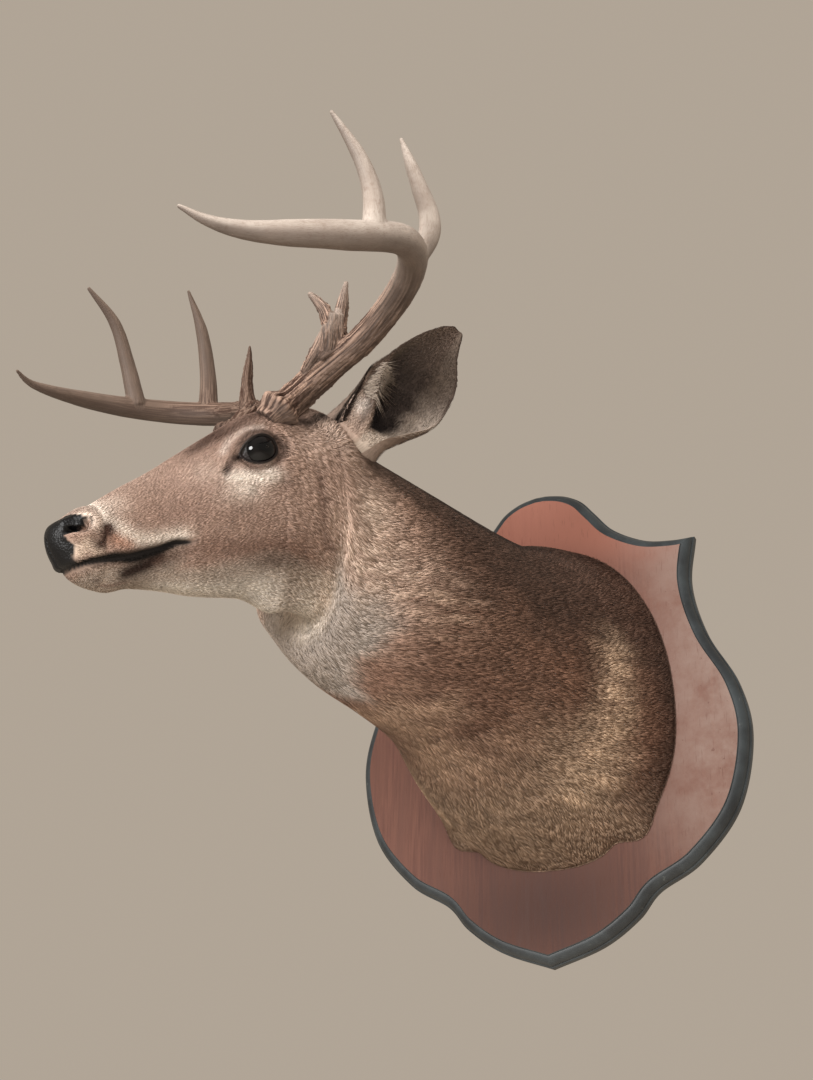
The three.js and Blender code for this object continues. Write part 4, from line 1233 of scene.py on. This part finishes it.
def make_tufts(name, material, root, middle, tip, normal, width, colour, uv):
    """One mesh of locks, each a spindle of six faces from a sunk root over its middle to its tip."""
    count = len(root)
    across = unit(np.cross(unit(tip - root, 1e-9), normal), 1e-9)
    half = (width / 2)[:, None]
    ridge = middle + normal * half * 0.32
    points = np.stack([root, middle - across * half, ridge, middle + across * half, tip], 1)
    base = np.arange(count)[:, None, None] * 5
    spindle = np.array([[0, 1, 2], [0, 2, 3], [0, 3, 1], [4, 2, 1], [4, 3, 2], [4, 1, 3]])
    faces = (base + spindle[None]).reshape(-1, 3)
    tufts = make_mesh(name, points.reshape(-1, 3), [faces], [material])
    strength = np.array([0.92, 0.98, 1.0, 0.98, 1.03])[None, :, None]
    coloured(tufts, (colour[:, None] * strength).reshape(-1, 3))
    patch = np.array([[0, 0], [-0.0015, 0.0012], [0, 0.0016], [0.0015, 0.0012], [0, 0.003]])
    corner_uv = (uv[:, None] + patch[None]).reshape(-1, 2)[faces.ravel()]
    tufts.data.uv_layers.new(name="OFBake").data.foreach_set("uv", corner_uv.astype(np.float32).ravel())
    recalc_outward(tufts)
    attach(tufts, "root")


def lie_angle(t, angle):
    """How far the hair turns from straight back, in radians towards the larger angle."""
    round_ = degrees_round(angle)
    backward = -0.52 * ease(8.0, 9.0, t) * ease(8, 40, round_) * (1 - 0.8 * ease(130, 172, round_))
    backward = backward + 0.5 * ease(11.6, 12.4, t) * ease(112, 140, round_) * (1 - ease(160, 176, round_))
    backward = backward - 1.1 * np.exp(-(((t - 7.2) / 0.7) ** 2) - ((round_ - 50) / 14) ** 2)
    cheek = 0.35 * ease(4.0, 6.0, t) * (1 - ease(7.0, 8.4, t))
    cheek = cheek * ease(30, 70, round_) * (1 - ease(120, 160, round_))
    return (backward + cheek) * np.sign(np.sin(angle))


def make_coat():
    material = coat_finish()
    rows, columns = LIE_POINTS.shape[:2]
    normals = grid_normals(LIE_POINTS)
    centre = LIE_POINTS.mean(1, keepdims=True)
    normals *= np.sign(((LIE_POINTS - centre) * normals).sum())
    along = np.linalg.norm(np.diff(LIE_POINTS, axis=0), axis=-1)
    wide = np.linalg.norm(np.roll(LIE_POINTS, -1, 1) - LIE_POINTS, axis=-1)
    area = along * wide[:-1]
    # name, from, to, count, hair length, lock width, lift of the tips
    lengths = [
        ("coat_muzzle", -0.75, 2.4, 30000, 5.0, 0.6, 0.5),
        ("coat_face", 2.4, 5.2, 32000, 7.0, 0.65, 0.7),
        ("coat_cheeks", 5.2, 7.2, 32000, 10.5, 0.75, 1.0),
        ("coat_throat", 7.2, 8.8, 33000, 16.0, 0.95, 1.2),
        ("coat_neck", 8.8, 10.4, 33000, 19.0, 1.0, 1.2),
        ("coat_chest", 10.4, 11.8, 32000, 20.0, 1.1, 1.2),
        ("coat_shoulders", 11.8, 13.0, 32000, 18.0, 1.1, 1.4),
    ]
    for seed, (name, start, stop, count, length, width, lift) in enumerate(lengths):
        rng = np.random.default_rng(100 + seed)
        chosen = (LIE_T[:-1] >= start) & (LIE_T[:-1] < stop)
        weight = np.where(chosen[:, None], area, 0).ravel()
        cell = rng.choice(weight.size, count, p=weight / weight.sum())
        row = cell // columns + rng.random(count)
        column = cell % columns + rng.random(count)
        t = np.interp(row, np.arange(rows), LIE_T)
        angle = np.interp(column, np.arange(columns + 1), np.append(LIE_ANGLE, 2 * math.pi))
        root = sample_grid(LIE_POINTS, row, column)
        normal = unit(sample_grid(normals, row, column))
        spot = on_left(to_head(root))
        reach = lid_reach(spot)
        bare = (nose_pad(spot) > 0.3) | ((reach < 1.08) & (t < 7) & (spot[:, 1] > 15))
        bare |= (np.abs(spot[:, 2] - mouth_level(spot[:, 0])) < 2.4) & (spot[:, 0] > 74)
        keep = ~bare
        row, column, t, angle, root, normal = (a[keep] for a in (row, column, t, angle, root, normal))
        size = length * (0.75 + 0.5 * rng.random(len(t)))
        size = size * (0.45 + 0.55 * ease(1.2, 1.9, reach[keep])) if stop < 7 else size
        turn = lie_angle(t, angle) + rng.normal(0, 0.08, len(t)) + 0.16 * mottle(root, 26, 31)
        i, j = row.astype(int), column.astype(int) % columns
        row_step = size * np.cos(turn) / along[np.minimum(i, rows - 2), j]
        column_step = size * np.sin(turn) / np.maximum(wide[i, j], 0.05)
        rise = lift * (0.7 + 0.6 * rng.random(len(t)))
        by_ear = np.exp(-(((t - 7.4) / 0.55) ** 2) - ((np.abs(np.degrees(angle) - 180) - 133) / 11) ** 2)
        rise = rise + 5.0 * by_ear * rng.random(len(t))
        fold = sample_grid(LIE_POINTS, row + row_step * 0.42, column + column_step * 0.42)
        end_row = row + row_step
        tip = sample_grid(LIE_POINTS, end_row, column + column_step)
        over = np.maximum(end_row - (rows - 1.001), 0)[:, None]
        tip = tip + normal * np.minimum(over * 0.25, 2.0)
        middle = fold + normal * (rise * 0.8)[:, None]
        tip = tip + normal * rise[:, None]
        tip[:, 1] = np.minimum(tip[:, 1], -BOARD_THICKNESS - HIDE_STAND_OFF - 0.1)
        colour = coat_colour(root, t, angle)
        tick = rng.normal(1.0, np.where(t < 7.5, 0.07, 0.04), len(t)) + 0.05 * mottle(root, 6, 41)
        pale = rng.random(len(t)) < 0.015 + 0.05 * np.exp(-((t - 9.0) / 1.0) ** 2) * (t > 6.5)
        tick = np.where(pale, tick * 1.2, tick)
        colour = colour * tick[:, None]
        uv = [0.004 + 0.992 * ((angle / (2 * math.pi)) % 1), 0.004 + 0.988 * (t - start) / (stop - start)]
        widths = width * (0.7 + 0.6 * rng.random(len(t)))
        make_tufts(name, material, root - normal * 0.6, middle, tip, normal, widths, colour, np.stack(uv, 1))


def make_ear_coat():
    """Short hair on the back of the ear, and long pale hairs inside along its front edge."""
    material = bpy.data.materials["deer_hair"]
    # name, on the inner face, count, hair length, lock width, lift of the tips
    groups = [
        ("back", False, 9000, 7.5, 0.8, 0.9),
        ("lining", True, 5000, 6.0, 0.7, 0.8),
        ("fringe", True, 500, 20.0, 0.6, 2.5),
        ("brush", False, 900, 11.0, 0.7, 0.5),
    ]
    for name in EARS:
        parts = []
        for seed, (part, inner, count, length, width, lift) in enumerate(groups):
            rng = np.random.default_rng(300 + seed + 10 * (name == "ear_left"))
            u = 0.04 + 0.95 * rng.random(count) ** 0.9
            v = rng.uniform(-0.98, 0.98, count)
            if part == "fringe":
                u = 0.26 + 0.22 * rng.random(count)
                v = -EARS[name][0] * rng.uniform(0.5, 0.97, count)
            if part == "brush":
                u = 0.02 + 0.4 * rng.random(count)
                v = -EARS[name][0] * rng.uniform(0.93, 0.99, count)
            face = np.full(count, inner)
            root = ear_surface(name, u, v, face)
            step = 0.004
            by_u = (ear_surface(name, u + step, v, face) - root) / step
            by_v = (ear_surface(name, u, v - np.sign(v) * step, face) - root) / step * -np.sign(v)[:, None]
            normal = unit(np.cross(by_u, by_v), 1e-9)
            toward = np.array(EARS[name][4]) @ HEAD_AXES
            normal *= np.sign((normal @ toward)[:, None]) * (1 if inner else -1)
            turn = rng.normal(0, 0.25, count) + (0.0 if part != "fringe" else 0.9)
            size = length * rng.uniform(0.7, 1.3, count)
            du = size * np.cos(turn) / np.linalg.norm(by_u, axis=1)
            dv = -np.sign(v) * size * np.sin(turn) / np.maximum(np.linalg.norm(by_v, axis=1), 5)
            room = np.minimum(1, (1.0 - u) / np.maximum(du, 1e-6))
            du, dv = du * room, dv * room
            middle = ear_surface(name, u + du * 0.4, np.clip(v + dv * 0.4, -0.99, 0.99), face)
            tip = ear_surface(name, u + du, np.clip(v + dv, -0.99, 0.99), face)
            if part == "brush":
                out = unit(by_v * np.sign(v)[:, None])
                reach = (0.75 * out + 0.65 * unit(by_u)) * (size * (1.25 - 1.6 * u))[:, None]
                middle, tip = root + reach * 0.45, root + reach
            rise = (lift * rng.uniform(0.6, 1.2, count) * np.maximum(room, 0.3))[:, None]
            colour = ear_colour(name, root, u, v, face.astype(float)) * rng.normal(1.0, 0.1, count)[:, None]
            if part in ("fringe", "brush"):
                tone = {"fringe": paint(212, 198, 186), "brush": paint(46, 36, 32)}[part][:3]
                colour = np.array(tone) * rng.normal(0.95, 0.12, count)[:, None]
            uv = np.stack([0.01 + 0.48 * (v + 1) / 2 + 0.5 * inner, 0.01 + 0.98 * u], 1)
            widths = width * rng.uniform(0.7, 1.3, count)
            middle, tip = middle + normal * rise, tip + normal * rise
            parts.append([root - normal * 0.4, middle, tip, normal, widths, colour, uv])
        root, middle, tip, normal, widths, colour, uv = (np.concatenate(column) for column in zip(*parts))
        make_tufts("coat_" + name, material, root, middle, tip, normal, widths, colour, uv)


make_coat()
make_ear_coat()


# ------------------------------------------------------------------ hand over
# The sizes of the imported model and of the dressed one, for comparison.
sizes = {"cad": cad_box, "visual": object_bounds()}
{k: [[float(c) for c in corner] for corner in box] for k, box in sizes.items()}
